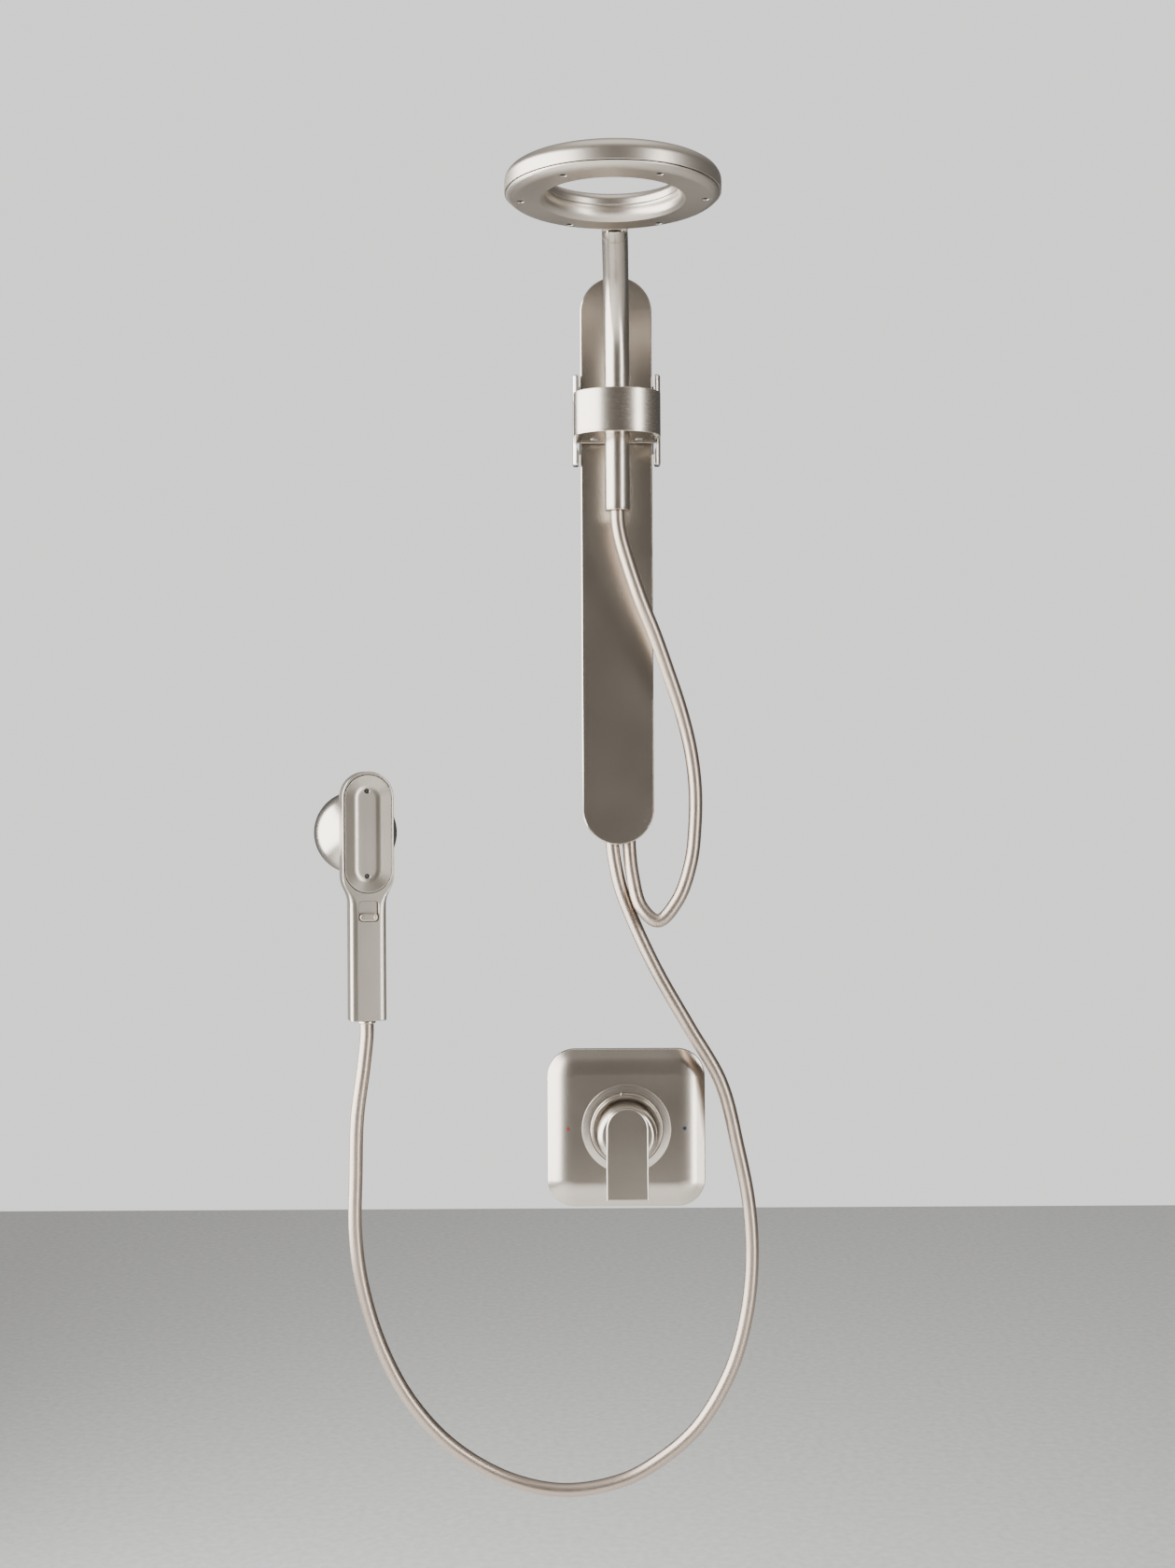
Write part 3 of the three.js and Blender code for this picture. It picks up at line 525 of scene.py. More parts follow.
def cross_recess(width, depth, place):
    """Two crossed bars, to cut a driver's recess."""
    narrow = width / 3.4
    return [
        slab("bar", rounded_square(a, b, 0.15, 3), [(0, 0), (0.3, -depth)], place)
        for a, b in ((width, narrow), (narrow, width))
    ]


def make_rail():
    plate = Box("rail_front_plate")
    front = plate.depth
    edge = rounded([(1.2, 0), (0.3, 0), (0, 0.3), (0, 3.0, 0.3), (1.0, front, 0.3), (2.2, front)], 4)
    place = plate.at_back()
    skin = slab("rail_plate_skin", obround(plate.width, plate.height, 60), edge, place)
    dress(flatten(skin), "rail_front_plate", plate_nickel)
    for level in ("upper", "lower"):
        for side in ("left", "right"):
            node = f"wall_screw_{level}_{side}"
            box = Box(node)
            make_pan_screw(f"{node}_turned", node, box.at_back(), box.depth, box.width / 2)


def make_pan_screw(name, node, place, length, head):
    """A pan-head screw with its head at the far end of its height."""
    head_height, pitch, thread_depth = 3, 0.55, 0.35
    neck = length - head_height
    shank = head / 2
    marks = reversed(range(int((neck - 1) / pitch)))
    threads = [(shank - thread_depth * (i % 2), neck - 0.5 - i * pitch) for i in marks]
    corners = [
        (0, 0), (shank - 0.5, 0), *threads, (shank, neck), (head, neck), (head, length, 1.1), (0, length),
    ]
    screw = spun(name, corners, place, 40)
    carve(screw, *cross_recess(head * 1.05, 1.6, place @ at(0, 0, length + 0.1)))
    dress(screw, node, steel)


def make_manifold():
    body = Box("manifold_body")
    block = 44  # the height of the body above its two nipples
    edge = rounded([(1.5, 0), (0, 0, 1.2), (0, block, 1.2), (1.5, block)], 5)
    plan = rounded_square(body.width, body.depth, 5, 10)
    casting = slab("manifold_casting", plan, edge, at(body.x, body.y, body.top - block))
    nipples = []
    for node in ("hose_nut_rain", "hose_nut_hand"):
        outlet = Box(node)
        corners = [(0, 0), (3.4, 0), (4.6, 0.8), (4.6, 10), (6.8, 10), (6.8, 10.8), (0, 10.8)]
        nipples.append(spun("nipple", corners, at(outlet.x, outlet.y, body.bottom), 48))
    carve(casting, *nipples, operation="UNION")
    dress(casting, "manifold_body", brass)
    flange = Box("inlet_flange")
    radius = 20
    corners = [(0, 0), (radius, 0), (radius, flange.depth, 0.6), (0, flange.depth)]
    ring = spun("inlet_flange_turned", corners, flange.at_back())
    dress(ring, "inlet_flange", brass)


def make_hose_nut(name):
    """A turned nut with a fluted grip and a plain collar where the hose comes out."""
    node = f"hose_nut_{name}"
    box = Box(node)
    place = box.at_bottom()
    flutes, flute_depth, steps = 18, 0.35, 216
    outline = []
    for i in range(steps):
        turn = 2 * math.pi * i / steps
        reach = box.width / 2 - flute_depth * (0.5 - 0.5 * math.cos(flutes * turn))
        outline.append((reach * math.cos(turn), reach * math.sin(turn)))
    top = 13
    corners = [(1.6, 0), (0.9, 0), (0.9, 2.2, 0.3), (0, 2.8, 0.3), (0, 12.4, 0.3), (0.6, top), (1.6, top)]
    nut = slab(f"{node}_fluted", outline, rounded(corners, 4), place)
    return dress(carve(nut, drill(4.9, 2.4, top + 1, place, 48)), node, turned_nickel)


# Carriage and drum

def make_carriage():
    box = Box("carriage_frame")
    half = box.width / 2
    place = box.at_back()
    wing = half - Box("glide_pad_right").right - 0.3
    ends = rounded([(2.4, 0), (0, 0, 2.2), (0, box.height, 2.2), (2.4, box.height)], 8)
    drum = Box("dock_drum")
    low, high = drum.bottom - box.z, drum.top - box.z
    wings = []
    for side in (-1, 1):
        plan = [
            (half, box.back, 1), (half, box.front, 5),
            (half - wing, box.front, 1), (half - wing, box.back, 1),
        ]
        plan = rounded([(side * x, y, r) for x, y, r in plan], 8, closed=True)
        shape = slab("wing", plan, ends, at(box.x, 0, box.bottom))
        corners = [
            (half - 12, low - 8), (half - wing, low - 8, 2), (half - 3.4, low - 1, 3), (half - 3.4, high, 2),
            (half - wing, high + 4, 2), (half - 12, high + 4),
        ]
        relief = rounded([(side * x, *rest) for x, *rest in corners], 6)
        wings.append(carve(shape, slab("relief", relief, [(0, -1), (0, box.depth + 1)], place)))
    soft_back = [(0.4, 0), (0, 0.4)]
    thickness, height = 3.6, 40
    web = slab(
        "carriage_casting", rounded_square(box.width - 2, height, 2), [*soft_back, (0, thickness)],
        at(box.x, box.front + thickness, box.z) @ OUT,
    )
    lip_plan, lip_edge = rounded_square(20, height, 1), [*soft_back, (0, 4)]
    lips = [
        slab("lip", lip_plan, lip_edge, at(side * (half - 10), box.back - 1.2, box.z) @ OUT)
        for side in (-1, 1)
    ]
    carve(web, *wings, *lips, operation="UNION")
    pad = Box("brake_pad")
    pad_place = pad.at_back()
    pad_radius, play = 9, 0.3
    recess = drill(pad_radius + play, -1, pad.depth + play, pad_place, 48)
    dress(carve(web, recess), "carriage_frame", wing_nickel)
    dress(disc("brake_pad_disc", pad_radius, 0, pad.depth, pad_place, 48), "brake_pad", plastic)


def drum_plan(box, axis_y):
    """Straight sides out from the rail, closed by half an ellipse round the arm."""
    half = box.width / 2
    curve = ellipse(0, axis_y, half, box.front - axis_y, 0, 180, 96)
    return [(half, box.back), *curve, (-half, box.back)]


def make_drum():
    box = Box("dock_drum")
    bushing = Box("arm_bushing")
    place = at(0, 0, box.bottom)
    plan = drum_plan(box, bushing.y)
    wall = 3
    top = box.height
    edge = [
        (wall, top - wall), (wall, 0.4), (wall - 0.4, 0), *rounded([(1.2, 0), (0, 0, 0.5), (0, 1.7)], 4),
        (0.3, 1.85), (0.3, 2.15), *rounded([(0, 2.3), (0, top, 0.8), (2.4, top)], 6),
    ]
    drum = slab("drum_shell", plan, edge, place)
    hole = drill(17, 0, top + 1, at(bushing.x, bushing.y, box.bottom + 20))
    dress(flatten(carve(drum, hole)), "dock_drum", drum_nickel)
    cap_low, cap_high = 1.2, 3.6
    cap_edge = rounded([
        (wall + 1.2, cap_low), (wall + 0.3, cap_low, 0.4), (wall + 0.3, cap_high), (wall + 1.2, cap_high),
    ], 4)
    cap = slab("drum_cap_plate", plan, cap_edge, place)
    middle = Box("drum_cap").z
    holes = [drill(13.3, -9, 9, at(bushing.x, bushing.y, middle))]
    for side in ("left", "right"):
        screw = Box(f"drum_screw_{side}")
        holes.append(drill(4.5, -9, 9, at(screw.x, screw.y, middle), 48))
        make_drum_screw(f"drum_screw_{side}")
    dress(flatten(carve(cap, *holes)), "drum_cap", plate_nickel)
    inner, outer, high = 13, 16.7, bushing.height
    low = max(box.bottom + cap_high + 0.3 - bushing.bottom, 0)
    corners = [(inner, low), (outer, low, 0.6), (outer, high, 0.8), (inner, high, 0.5)]
    sleeve = spun("arm_bushing_sleeve", corners, bushing.at_bottom(), 96, closed=True)
    dress(sleeve, "arm_bushing", plastic)


def make_drum_screw(node):
    """A countersunk screw whose head faces down."""
    box = Box(node)
    place = box.at_bottom()
    end = box.height
    corners = [(0, 0), (4.2, 0, 0.3), (4.2, 0.8), (2, 2.6), (2, end - 1), (1.2, end), (0, end)]
    screw = spun(f"{node}_turned", corners, place, 48)
    recess = cross_recess(4.6, -1.7, place @ at(0, 0, -0.1))
    dress(carve(screw, *recess), node, steel)


# Arm and tilt joint

def vector_of(joint, key):
    return Vector(JOINTS[joint][key])


TILT_AXIS = vector_of("head_tilt", "axis")
TURN = math.atan2(TILT_AXIS.y, TILT_AXIS.x)
ARM_RISE = math.radians(30)
ARM_RADIUS = 12.7
ARM_BOTTOM = 231
BEND_RADIUS = 110
RING_CENTRE, PIN_CENTRE = 215, 106  # how far each is out from the arm's axis


def arm_frame():
    swivel = vector_of("arm_swivel", "pos_m") / MM
    return at(swivel.x, swivel.y, 0, TURN)


def tilt_pivot():
    """The tilt pin's place in the arm's frame, in millimetres."""
    return (arm_frame().inverted() @ vector_of("head_tilt", "pos_m")) / MM


def make_arm():
    place = arm_frame()
    pivot = tilt_pivot()
    slope = Vector((0, -math.cos(ARM_RISE), math.sin(ARM_RISE)))
    bend = Vector((0, 0, pivot.z + pivot.y * math.tan(ARM_RISE)))
    angle = math.pi / 2 - ARM_RISE
    back_off = BEND_RADIUS * math.tan(angle / 2)
    centre = bend - Vector((0, BEND_RADIUS, back_off))
    curve = [
        centre + BEND_RADIUS * Vector((0, math.cos(angle * i / 40), math.sin(angle * i / 40)))
        for i in range(41)
    ]
    shaft = [Vector((0, 0, ARM_BOTTOM + (curve[0].z - ARM_BOTTOM) * i / 12)) for i in range(12)]
    end = pivot - slope * 15
    slant = [curve[-1].lerp(end, i / 6) for i in range(1, 7)]
    arm = tube("arm_tube_bent", [*shaft, *curve, *slant], ARM_RADIUS, place, 96)
    foot = place @ at(0, 0, ARM_BOTTOM)
    tilt = Matrix.Rotation(math.pi / 2 - ARM_RISE, 4, "X")
    foot_bore = drill(10.9, -3, 12, foot, 64)
    top_bore = drill(11.2, -16, 6, place @ Matrix.Translation(end * MM) @ tilt, 64)
    dress(carve(arm, foot_bore, top_bore), "arm_tube", arm_nickel)
    corners = [
        (6.9, -1.8), (12.5, -1.8, 0.3), (ARM_RADIUS, -0.35, 0.15), (10.6, -0.3), (10.6, 9.5), (7.2, 9.5),
    ]
    collar = spun("arm_collar_turned", corners, foot, 96, closed=True)
    dress(collar, "arm_end_collar", turned_nickel)
    make_tilt_joint(place @ Matrix.Translation(pivot * MM), tilt)
    return collar


def knuckle(name, radius, width, place):
    """A round bar along local X with softened rims."""
    return disc(name, radius, -width / 2, width / 2, place @ ACROSS, 80, soft=0.8)


def make_tilt_joint(place, tilt):
    """The fork at the arm's end, the ring's tongue between its prongs, and the pin across both."""
    tongue_width = 12
    slot = tongue_width + 0.6
    fork = knuckle("tilt_fork_cast", 10, 24, place)
    neck = [(0, -26), (10.5, -26), (10.5, -15), (12.5, -15, 0.3), (12.5, -0.5, 1.2), (0, -0.5)]
    carve(fork, spun("neck", neck, place @ tilt, 80), operation="UNION")
    clear = knuckle("clear", 10.4, slot, place)
    window = slab("window", rounded_square(slot, 30, 0.3, 3), [(0, -10.6), (0, 15)], place @ at(0, -15, 0))
    carve(fork, clear, window)
    dress(fork, "tilt_fork", turned_nickel)
    dress(disc("tilt_pin_turned", 3, -11.5, 11.5, place @ ACROSS, 48, soft=0.4), "tilt_pin", steel)
    ring = Box("ring_upper_shell")
    length = RING_CENTRE - PIN_CENTRE - ring.width / 2 + 8  # reaches into the ring, which then cuts it
    tongue = knuckle("tilt_tongue_cast", 10, tongue_width, place)
    edge = rounded([(1, -6.5), (0, -6.5, 0.8), (0, 6.5, 0.8), (1, 6.5)], 4)
    neck = slab("neck", rounded_square(tongue_width, length, 1.2, 5), edge, place @ at(0, -length / 2, 0))
    carve(tongue, neck, operation="UNION")
    ring_wall = drill(97.7, -30, 30, at(ring.x, ring.y, ring.z), 256)
    dress(carve(tongue, ring_wall), "tilt_tongue", turned_nickel)


# Ring head

NOZZLES = 6
NOZZLE_RADIUS = 83


def make_ring():
    """Two shells that meet at a low seam outside and at a higher one in the hole, which flares below it."""
    upper, lower = Box("ring_upper_shell"), Box("ring_lower_shell")
    outer, inner = upper.width / 2, 58.5
    height = upper.top - lower.bottom
    outer_seam, inner_seam = upper.bottom - lower.bottom, lower.height
    wall, groove = 2, 0.35
    place = at(upper.x, upper.y, lower.bottom, TURN)
    skin = [
        (outer - groove, outer_seam), (outer - 0.1, outer_seam + groove),
        *ellipse(outer - 12.5, height - 12, 12.5, 12, 0, 90), *ellipse(inner + 9, height - 8, 9, 8, 90, 180),
        (inner + 0.1, inner_seam + 0.3 + groove), (inner + groove, inner_seam + 0.3),
    ]
    inside = [
        (inner + wall, inner_seam + 0.3), *ellipse(inner + 9, height - 8, 9 - wall, 8 - wall, 180, 90),
        *ellipse(outer - 12.5, height - 12, 12.5 - wall, 12 - wall, 90, 0), (outer - wall, outer_seam),
    ]
    dress(turned("ring_upper", [*skin, *inside], place, 192, closed=True), "ring_upper_shell", ring_nickel)
    seam = outer_seam - 0.3
    flare = ellipse(inner + 9, inner_seam - 1, 9, inner_seam - 1, 180, 235)
    flare = [(x, max(y, 0)) for x, y in flare] + [(inner + 6.9, 0)]
    rim = [point for point in ellipse(outer - 11, 10, 11, 10, -90, 0, 24) if point[1] < seam - groove]
    skin = [
        (inner + groove, inner_seam), (inner + 0.1, inner_seam - groove), *flare, *rim,
        (rim[-1][0] + 0.25, seam - groove), (rim[-1][0] - groove, seam),
    ]
    inside = [
        (outer - 3.6, seam), (outer - 4.4, 3.4), (outer - 9, wall), (inner + 9, wall), (inner + 4.4, 5),
        (inner + 2.6, inner_seam - 2), (inner + wall + 0.4, inner_seam),
    ]
    shell = turned("ring_lower", [*skin, *inside], place, 192, closed=True)
    turns = [2 * math.pi * i / NOZZLES for i in range(NOZZLES)]
    places = [place @ at(NOZZLE_RADIUS * math.cos(turn), NOZZLE_RADIUS * math.sin(turn), 0) for turn in turns]
    hole = [(0, -1), (3.5, -1), (3.3, 0.1), (3.05, 0.4), (3.05, 6), (0, 6)]
    dress(carve(shell, *[spun("hole", hole, spot, 40) for spot in places]), "ring_lower_shell", ring_nickel)
    tip = [(0.9, 4.4), (2.3, 3.6), (2.5, 0.5, 0.15), (2.9, 0.5, 0.15), (2.9, 5), (0.9, 5)]
    for i, spot in enumerate(places, 1):
        dress(spun(f"rain_nozzle_tip_{i}", tip, spot, 40, closed=True), f"rain_nozzle_{i}", rubber)


# Dock and hand shower

MAGNET_BORE = 13.3


def make_dock():
    dome = Box("dock_dome")
    radius = dome.depth
    place = dome.at_back()
    inside = [(0, 33), (MAGNET_BORE, 33), (MAGNET_BORE, 5.3), (36.3, 5.3), (36.3, 0), (radius - 0.3, 0)]
    profile = [*inside, *quarter(radius, 48)[1:]]
    dress(turned("dock_dome_turned", profile, place, 160), "dock_dome", turned_nickel)
    flange, boss, screw_way = 36, 13, 2.6
    corners = [
        (screw_way, 0), (flange, 0, 0.5), (flange, 5, 0.8), (boss, 5, 1), (boss, 26, 0.6), (5.6, 26),
        (5.6, 20.6), (screw_way, 20.6),
    ]
    dress(spun("dock_wall_plate_turned", corners, place, 96, closed=True), "dock_wall_plate", steel)
    screw = Box("dock_screw")
    make_pan_screw("dock_screw_turned", "dock_screw", screw.at_back(), screw.depth, 5)
    magnet = Box("dock_magnet")
    magnet_place = magnet.at_back()
    dress(disc("dock_magnet_disc", 12, 0, magnet.depth, magnet_place), "dock_magnet", steel)


UNDOCK = vector_of("wand_undock", "axis")
WAND_TURN = math.atan2(UNDOCK.x, -UNDOCK.y)
WAND_BACK = 41
WAND_DEPTH = 26
HEAD_HALF, HEAD_STRAIGHT = 26.5, 37
HANDLE_HALF, HANDLE_BOTTOM = 18.5, -191
NECK_LOW, NECK_HIGH = -72, -42
WAND_NOZZLE_HEIGHTS = {"upper": 43.5, "lower": -43.5}


def wand_outline():
    """A straight handle, a neck that widens along a Bezier curve, and a round head."""
    neck = []
    steps = 24
    for i in range(steps + 1):
        t = i / steps
        x = HANDLE_HALF * ((1 - t) ** 3 + 3 * t * (1 - t) ** 2) + HEAD_HALF * (t**3 + 3 * t * t * (1 - t))
        z = NECK_LOW * (1 - t) ** 3 - 58 * 3 * t * (1 - t) ** 2 - 56 * 3 * t * t * (1 - t) + NECK_HIGH * t**3
        neck.append((x, z))
    shaft = [(HANDLE_HALF, HANDLE_BOTTOM + 2 + (NECK_LOW - 2 - HANDLE_BOTTOM) * i / 12) for i in range(12)]
    side = [(HEAD_HALF, NECK_HIGH + (HEAD_STRAIGHT - NECK_HIGH) * i / 8) for i in range(1, 8)]
    right = [*arc(HANDLE_HALF - 1.5, HANDLE_BOTTOM + 1.5, 1.5, -90, 0, 5), *shaft[1:], *neck, *side]
    top = arc(0, HEAD_STRAIGHT, HEAD_HALF, 0, 180, 64)
    left = [(-x, z) for x, z in reversed(right)]
    return [*right, *top, *left]


def front_edge():
    """The handle's front edge from side to front, as (inset, drop) pairs: tight, then gently crowned."""
    tight, crown, meet, steps = 4, 13, math.radians(23), 6
    edge = []
    for i in range(steps + 1):
        tilt = math.pi / 2 + (meet - math.pi / 2) * i / steps
        edge.append((tight * (1 - math.sin(tilt)), tight * (math.cos(meet) - math.cos(tilt))))
    reach, rise = edge[-1][0], crown * (1 - math.cos(meet))
    edge = [(inset, drop + rise) for inset, drop in edge]
    for i in range(1, steps + 1):
        tilt = meet * (1 - i / steps)
        edge.append((reach + crown * (math.sin(meet) - math.sin(tilt)), crown * (1 - math.cos(tilt))))
    return edge


def wand_rings():
    """The shell's rings from back to front. Its edges are tight round the head and softer on the handle."""
    outline = wand_outline()
    ways = inward(outline)
    on_handle = [min(max((-52 - z) / 26, 0), 1) for x, z in outline]
    on_handle = [share * share * (3 - 2 * share) for share in on_handle]
    soft = front_edge()
    steps = len(soft) - 1
    end_edge, head_edge, back_edge = 1.2, 1.1, 8
    profiles = []
    for i in range(steps + 1):
        turn = math.pi / 2 * i / steps
        rest = 1 - math.sin(turn)
        profiles.append([
            (back * rest, back * (1 - math.cos(turn)), back)
            for back in (back_edge - 1.5 * share for share in on_handle)
        ])
    for i, (inset, drop) in enumerate(soft):
        turn = math.pi / 2 * i / steps
        tight = head_edge * (1 - math.cos(turn)), head_edge * (1 - math.sin(turn))
        profiles.append([
            (
                tight[0] + (inset - tight[0]) * share,
                WAND_DEPTH - tight[1] - (drop - tight[1]) * share,
                head_edge + (soft[-1][0] - head_edge) * share,
            )
            for share in on_handle
        ])
    rings = []
    for profile in profiles:
        ring = []
        for (x, z), way, (inset, height, reach) in zip(outline, ways, profile):
            end_inset = inset * end_edge / reach if z < HANDLE_BOTTOM + 3 else inset
            ring.append((x + inset * way[0], z + end_inset * way[1], height))
        rings.append(ring)
    return rings


def make_wand():
    dome = Box("dock_dome")
    upright = at(dome.x, 0, dome.z, WAND_TURN)
    place = upright @ OUT
    front = place @ at(0, 0, WAND_BACK + WAND_DEPTH)
    handle = upright @ at(0, -WAND_BACK - WAND_DEPTH / 2, 0)
    shell = loft("wand_body", wand_rings(), place @ at(0, 0, WAND_BACK))
    track = rounded_square(20.4, 20.6, 3.4)
    tools = [
        turned("cup", [(0, 0), *quarter(43.8, 40)], place, 128),
        drill(MAGNET_BORE, 40, 58, place, 64),
        slab("dish", obround(49.6, 121.6, 48), [(0, -9), (0, -0.2), (-0.2, 0), (-0.2, 1)], front),
        slab("track", track, [(0, -3), (0, -0.4), (-0.4, 0), (-0.4, 1)], front @ at(0, -79, 0)),
        drill(6, -200, -60, handle, 48),
    ]
    dress(flatten(carve(shell, *tools)), "wand_shell", satin_shell)
    dress(disc("wand_keeper_disc", 13, 46.4, 57.4, place, 64), "wand_keeper", steel)
    make_face_plate(front)
    bottom = -193.8
    corners = [
        (0, bottom), (8.6, bottom), (9, bottom + 0.5, 0.2), (9, bottom + 2.4, 0.4), (5.7, bottom + 2.4),
        (5.7, bottom + 20), (0, bottom + 20),
    ]
    return dress(spun("wand_connector_turned", corners, handle), "wand_hose_connector", turned_nickel)


def make_face_plate(front):
    """A plate with a narrow flat rim round a long hollow with soft sides and a flat middle."""
    rim = [(0.4, -8.7), (0, -8.3), (0, -0.5, 0.3), (0.9, -0.5, 0.3), (12.6, -6.3, 14), (20, -6.3)]
    plate = slab("wand_plate", obround(48.2, 120.2, 64), rounded(rim, 8), front)
    hole = [(0, -12), (2.6, -12), (2.6, -6.6), (3.2, -6.1), (3.2, -3), (0, -3)]
    tip = [(0.7, -7.8), (1.2, -7.2, 0.2), (2.4, -7.2, 0.4), (2.4, -8.4), (0.7, -8.4)]
    holes = []
    for name, height in WAND_NOZZLE_HEIGHTS.items():
        place = front @ at(0, height, 0)
        holes.append(spun("hole", hole, place, 40))
        nozzle = spun(f"wand_nozzle_tip_{name}", tip, place, 40, closed=True)
        dress(nozzle, f"wand_nozzle_{name}", rubber)
    dress(carve(plate, *holes), "wand_face_plate", satin_shell)


def make_switch():
    """A pill with soft ends and a shallow grip pressed into its top."""
    dome = Box("dock_dome")
    switch = Box("spray_switch")
    front = at(dome.x, 0, dome.z, WAND_TURN) @ OUT @ at(0, switch.z - dome.z, WAND_BACK + WAND_DEPTH)
    proud = 2.4
    edge = rounded([(1, -2.6), (0, -2.6, 0.3), (0, proud, 1.5), (3.2, proud)], 8)
    knob = slab("spray_switch_pill", pill(18.6, 7.8), edge, front)
    grip_edge = [(0.5, proud - 0.5), (0, proud), (0, proud + 1)]
    grip = slab("grip", rounded_square(11, 3.6, 0.8, 6), grip_edge, front)
    dress(carve(knob, grip), "spray_switch", satin_shell)


# Valve trim

def make_valve():
    plate = Box("escutcheon")
    place = plate.at_back()
    depth = plate.depth
    border, slope = 17, math.tan(math.radians(24))
    base = depth - border * slope
    edge = [
        (border + 9, depth - 2.6), (border - 2, depth - 3.4), (4, base - 1), (3, 0), (0.3, 0), (0, 0.15),
        *rounded([(0, 1), (0, base, 1.4), (border, depth, 45), (border + 10.5, depth)], 14)[1:],
    ]
    skin = slab("escutcheon_pressing", rounded_square(plate.width, plate.height, 29, 24), edge, place)
    holes = [drill(24, -2, 20, place)]
    dot_radius = 1.6
    for node, finish in (("hot_marker", red_enamel), ("cold_marker", blue_enamel)):
        marker = Box(node)
        holes.append(drill(dot_radius + 0.3, 5, 20, at(marker.x, plate.back, marker.z) @ OUT, 32))
        corners = [(0, 0), (dot_radius, 0), (dot_radius, marker.depth, 0.3), (0, marker.depth)]
        dot = spun(f"{node}_dot", corners, marker.at_back(), 40)
        dress(dot, node, finish)
    dress(flatten(carve(skin, *holes)), "escutcheon", plate_nickel)
    make_collar(place)
    make_lever()


def make_collar(place):
    """A flared collar with a small pointer at its top."""
    bore, rim, foot, top = 33.2, 46.5, 13.3, 24
    corners = [
        (bore, foot), (rim, foot), (rim, 14.1, 0.4), (38.6, 15.9, 2), (36.8, 15.3, 1), (35.4, top, 0.3),
        (bore, top),
    ]
    collar = spun("trim_collar_turned", corners, place, 160, closed=True, steps=10)
    edge = [(0.2, 14), (0, 14.2), (0, 17.1), (0.3, 17.4)]
    pointer = slab("pointer", obround(1.6, 3.6, 8), edge, place @ at(-5, 36.6, 0))
    dress(carve(collar, pointer, operation="UNION"), "trim_collar", turned_nickel)
    stem = Box("cartridge_stem")
    body, step, spline = 20, 22, 8
    corners = [
        (0, 0), (body, 0), (body, step, 1), (spline, step), (spline, stem.depth, 0.8), (0, stem.depth),
    ]
    dress(spun("cartridge_turned", corners, place, 96), "cartridge_stem", brass)


def make_lever():
    hub, blade = Box("lever_hub"), Box("lever_blade")
    place = at(hub.x, 0, hub.z) @ OUT
    radius = hub.width / 2
    back, front = -hub.back, -hub.front
    corners = [(0, back), (radius, back, 0.8), (radius, front, 7), (0, front)]
    knob = spun("lever_hub_turned", corners, place, 160, steps=14)
    tools = [
        drill(8.3, back - 5, 36.3, place, 48),
        slab("blade_seat", blade_plan(blade, 0.15), [(0, -blade.back - 0.15), (0, 80)], place),
        drill(2.2, -40, 0, at(hub.x, -33, hub.z), 40),
    ]
    dress(carve(knob, *tools), "lever_hub", turned_nickel)
    depth = blade.depth
    corners = [
        (1.2, 0), (0, 0, 0.5), (0, depth - 0.8, 0.1), (0.4, depth - 0.3, 0.1), (1.1, depth, 0.1),
        (2.4, depth),
    ]
    plan = blade_plan(blade, 0)
    bar = slab("lever_blade_bar", plan, rounded(corners, 4), place @ at(0, 0, -blade.back))
    dress(flatten(bar), "lever_blade", plate_nickel)
    screw = Box("lever_set_screw")
    corners = [(0, 0), (1.9, 0, 0.2), (1.9, screw.height), (0, screw.height)]
    thread = spun("lever_set_screw_turned", corners, screw.at_bottom(), 40)
    dress(thread, "lever_set_screw", steel)


def blade_plan(box, grow):
    """A bar with a round top, in the hub's own frame."""
    hub = Box("lever_hub")
    half = box.width / 2 + grow
    centre = box.top - hub.z - box.width / 2
    bottom = box.bottom - hub.z - grow
    return [(half, bottom), *arc(0, centre, half, 0, 180, 64), (-half, bottom)]


# CAD pieces that show as they are

def dress_plain(node, finish, soften=0.4):
    """A finish and softened edges. The facets are joined first, so that the bevel takes hold."""
    piece = frame["nodes"][node]
    piece.data.materials.clear()
    piece.data.materials.append(finish)
    piece.modifiers.new("join", "WELD").merge_threshold = 0.01 * MM
    bevel = piece.modifiers.new("soft edges", "BEVEL")
    bevel.width = soften * MM
    bevel.segments = 2
    bevel.limit_method = "ANGLE"
    bevel.angle_limit = math.radians(40)


def dress_cad():
    dress_plain("rail_spine", spine_metal)
    for node in ("wall_bracket_upper", "wall_bracket_lower"):
        dress_plain(node, flat_steel)
    for node in ("glide_pad_left", "glide_pad_right"):
        dress_plain(node, plastic)
    for node in ("escutcheon_gasket", "ring_gasket"):
        dress_plain(node, rubber, 0.2)


# Floor, world and lights

FLOOR_HEIGHT, FLOOR_HALF = -1.5, 4.5


def make_floor():
    mesh = bpy.data.meshes.new("floor")
    signs = [(-1, -1), (1, -1), (1, 1), (-1, 1)]
    corners = [(x * FLOOR_HALF, y * FLOOR_HALF, FLOOR_HEIGHT) for x, y in signs]
    mesh.from_pydata(corners, [], [(0, 1, 2, 3)])
    floor = add_object("floor", mesh)
    floor.data.materials.append(moulded("floor_pale", "", (0.82, 0.82, 0.81), 0.8, 60, 0.01))


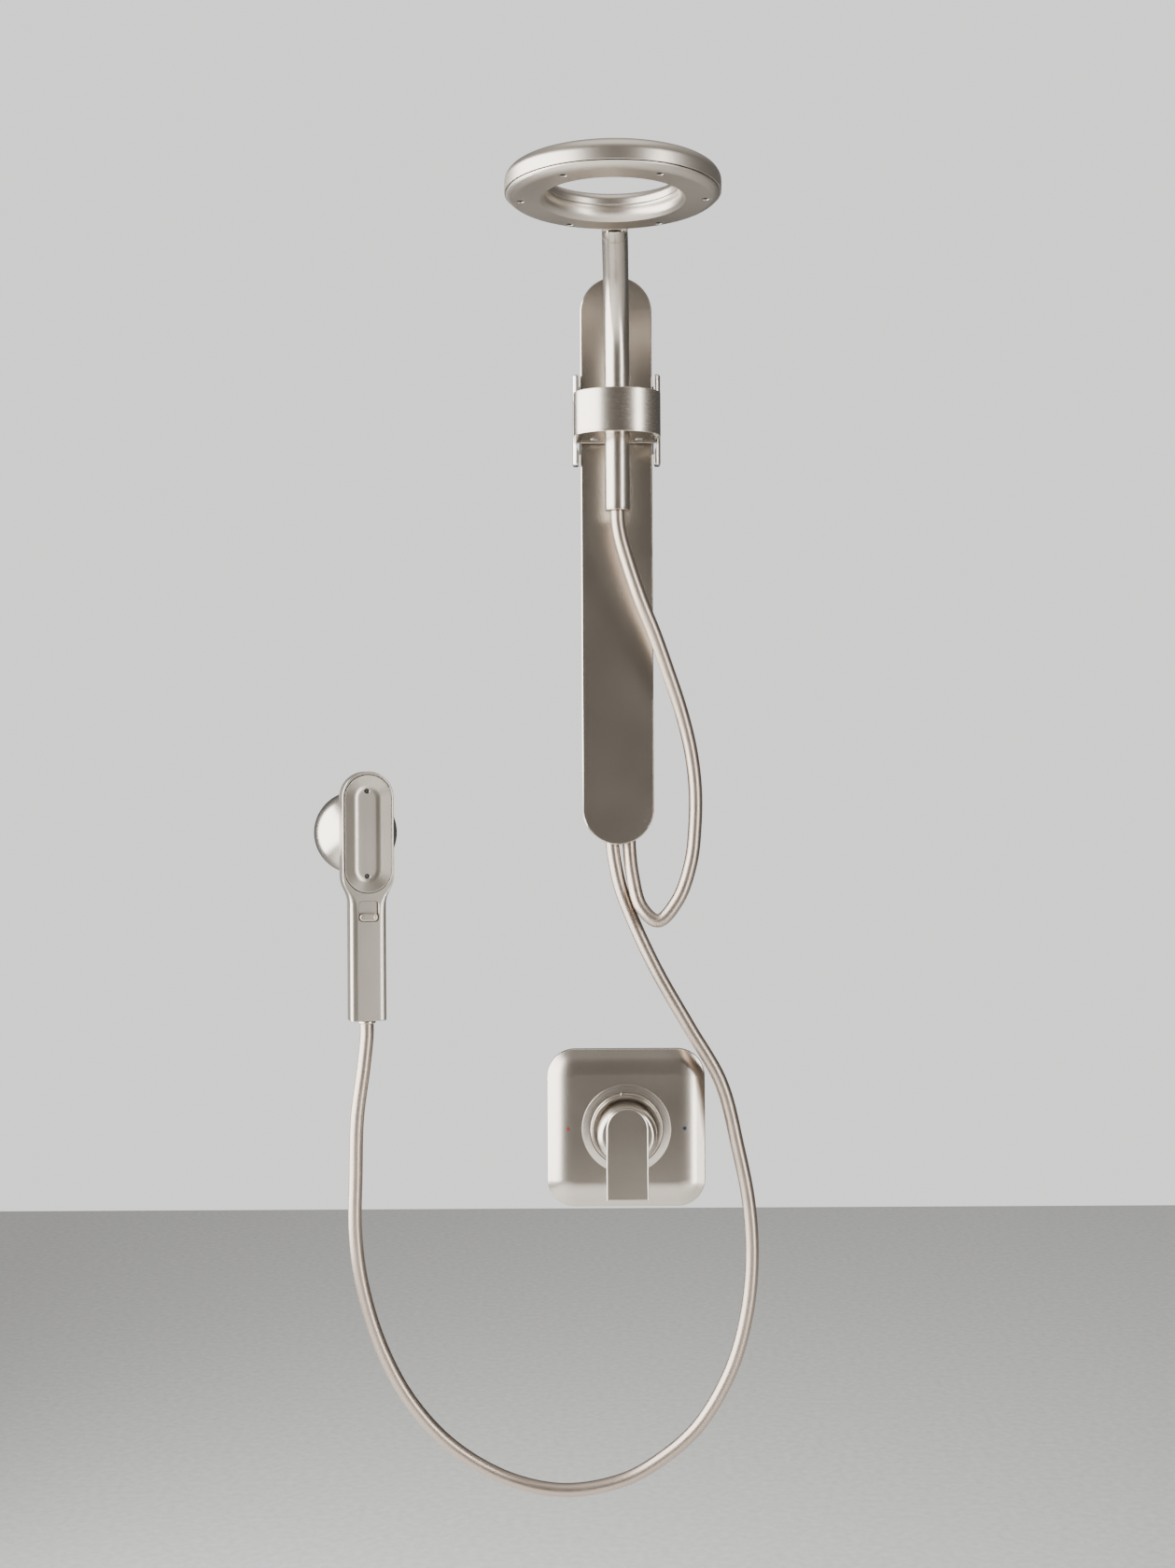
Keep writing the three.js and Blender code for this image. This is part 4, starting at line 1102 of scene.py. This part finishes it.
def make_world():
    """A plain pale surround to look at. The metal reflects a dimmer room instead, which is darkest out in
    front of the wall and lightest overhead."""
    world = bpy.data.worlds.new("studio")
    world.use_nodes = True
    bpy.context.scene.world = world
    tree = world.node_tree
    way = tree.nodes.new("ShaderNodeTexCoord").outputs["Generated"]

    def toward(direction, start, end):
        """How far a ray looks in a direction: 0 below the first cosine, 1 above the second."""
        cosine = tree.nodes.new("ShaderNodeVectorMath")
        cosine.operation = "DOT_PRODUCT"
        cosine.inputs[1].default_value = direction
        ramp = tree.nodes.new("ShaderNodeMapRange")
        ramp.interpolation_type = "SMOOTHSTEP"
        ramp.inputs["From Min"].default_value = start
        ramp.inputs["From Max"].default_value = end
        tree.links.new(way, cosine.inputs[0])
        tree.links.new(cosine.outputs["Value"], ramp.inputs["Value"])
        return ramp.outputs["Result"]

    def blend(factor, first, second):
        mix = tree.nodes.new("ShaderNodeMix")
        mix.data_type = "RGBA"
        tree.links.new(factor, mix.inputs["Factor"])
        for socket, color in ((mix.inputs[6], first), (mix.inputs[7], second)):
            if isinstance(color, tuple):
                socket.default_value = (*color, 1)
            else:
                tree.links.new(color, socket)
        return mix.outputs[2]

    around, in_front, to_right = (0.30, 0.31, 0.32), (0.115, 0.105, 0.092), (0.16, 0.155, 0.15)
    behind, overhead, surround = (0.12, 0.125, 0.13), (0.7, 0.69, 0.67), (1.25, 1.25, 1.235)
    room = blend(toward((0, -1, 0), -0.1, 0.75), around, in_front)
    room = blend(toward((1, 0, 0), 0.3, 0.95), room, to_right)
    room = blend(toward((0, 1, 0), 0.1, 0.8), room, behind)
    room = blend(toward((0, 0, 1), 0.4, 0.95), room, overhead)
    seen = tree.nodes.new("ShaderNodeLightPath").outputs["Is Camera Ray"]
    tree.links.new(blend(seen, room, surround), tree.nodes["Background"].inputs["Color"])


def make_light(name, place, aim, width, height, power):
    """A rectangular light, with its size in metres and its power in watts."""
    data = bpy.data.lights.new(name, "AREA")
    data.shape = "RECTANGLE"
    data.size = width
    data.size_y = height
    data.energy = power
    light = add_object(name, data)
    light.location = place
    light.rotation_euler = (Vector(aim) - Vector(place)).to_track_quat("-Z", "Y").to_euler()


def make_lights():
    make_light("softbox_left", (-1.8, -0.9, 0.25), (0, -0.9, 0.25), 3.4, 2.7, 297)
    make_light("softbox_right", (1.8, -1.85, 0.1), (0, -1.85, 0.1), 0.7, 3.0, 95)
    make_light("top", (0, -0.6, 2.2), (0, -0.3, 0), 1.6, 1.6, 8)


make_camera()
arm_collar = make_arm()
nut_rain = make_hose_nut("rain")
nut_hand = make_hose_nut("hand")
connector = make_wand()
make_rain_hose()
make_hand_hose()
make_rail()
make_manifold()
make_carriage()
make_drum()
make_ring()
make_dock()
make_switch()
make_valve()
dress_cad()
make_floor()
make_world()
make_lights()
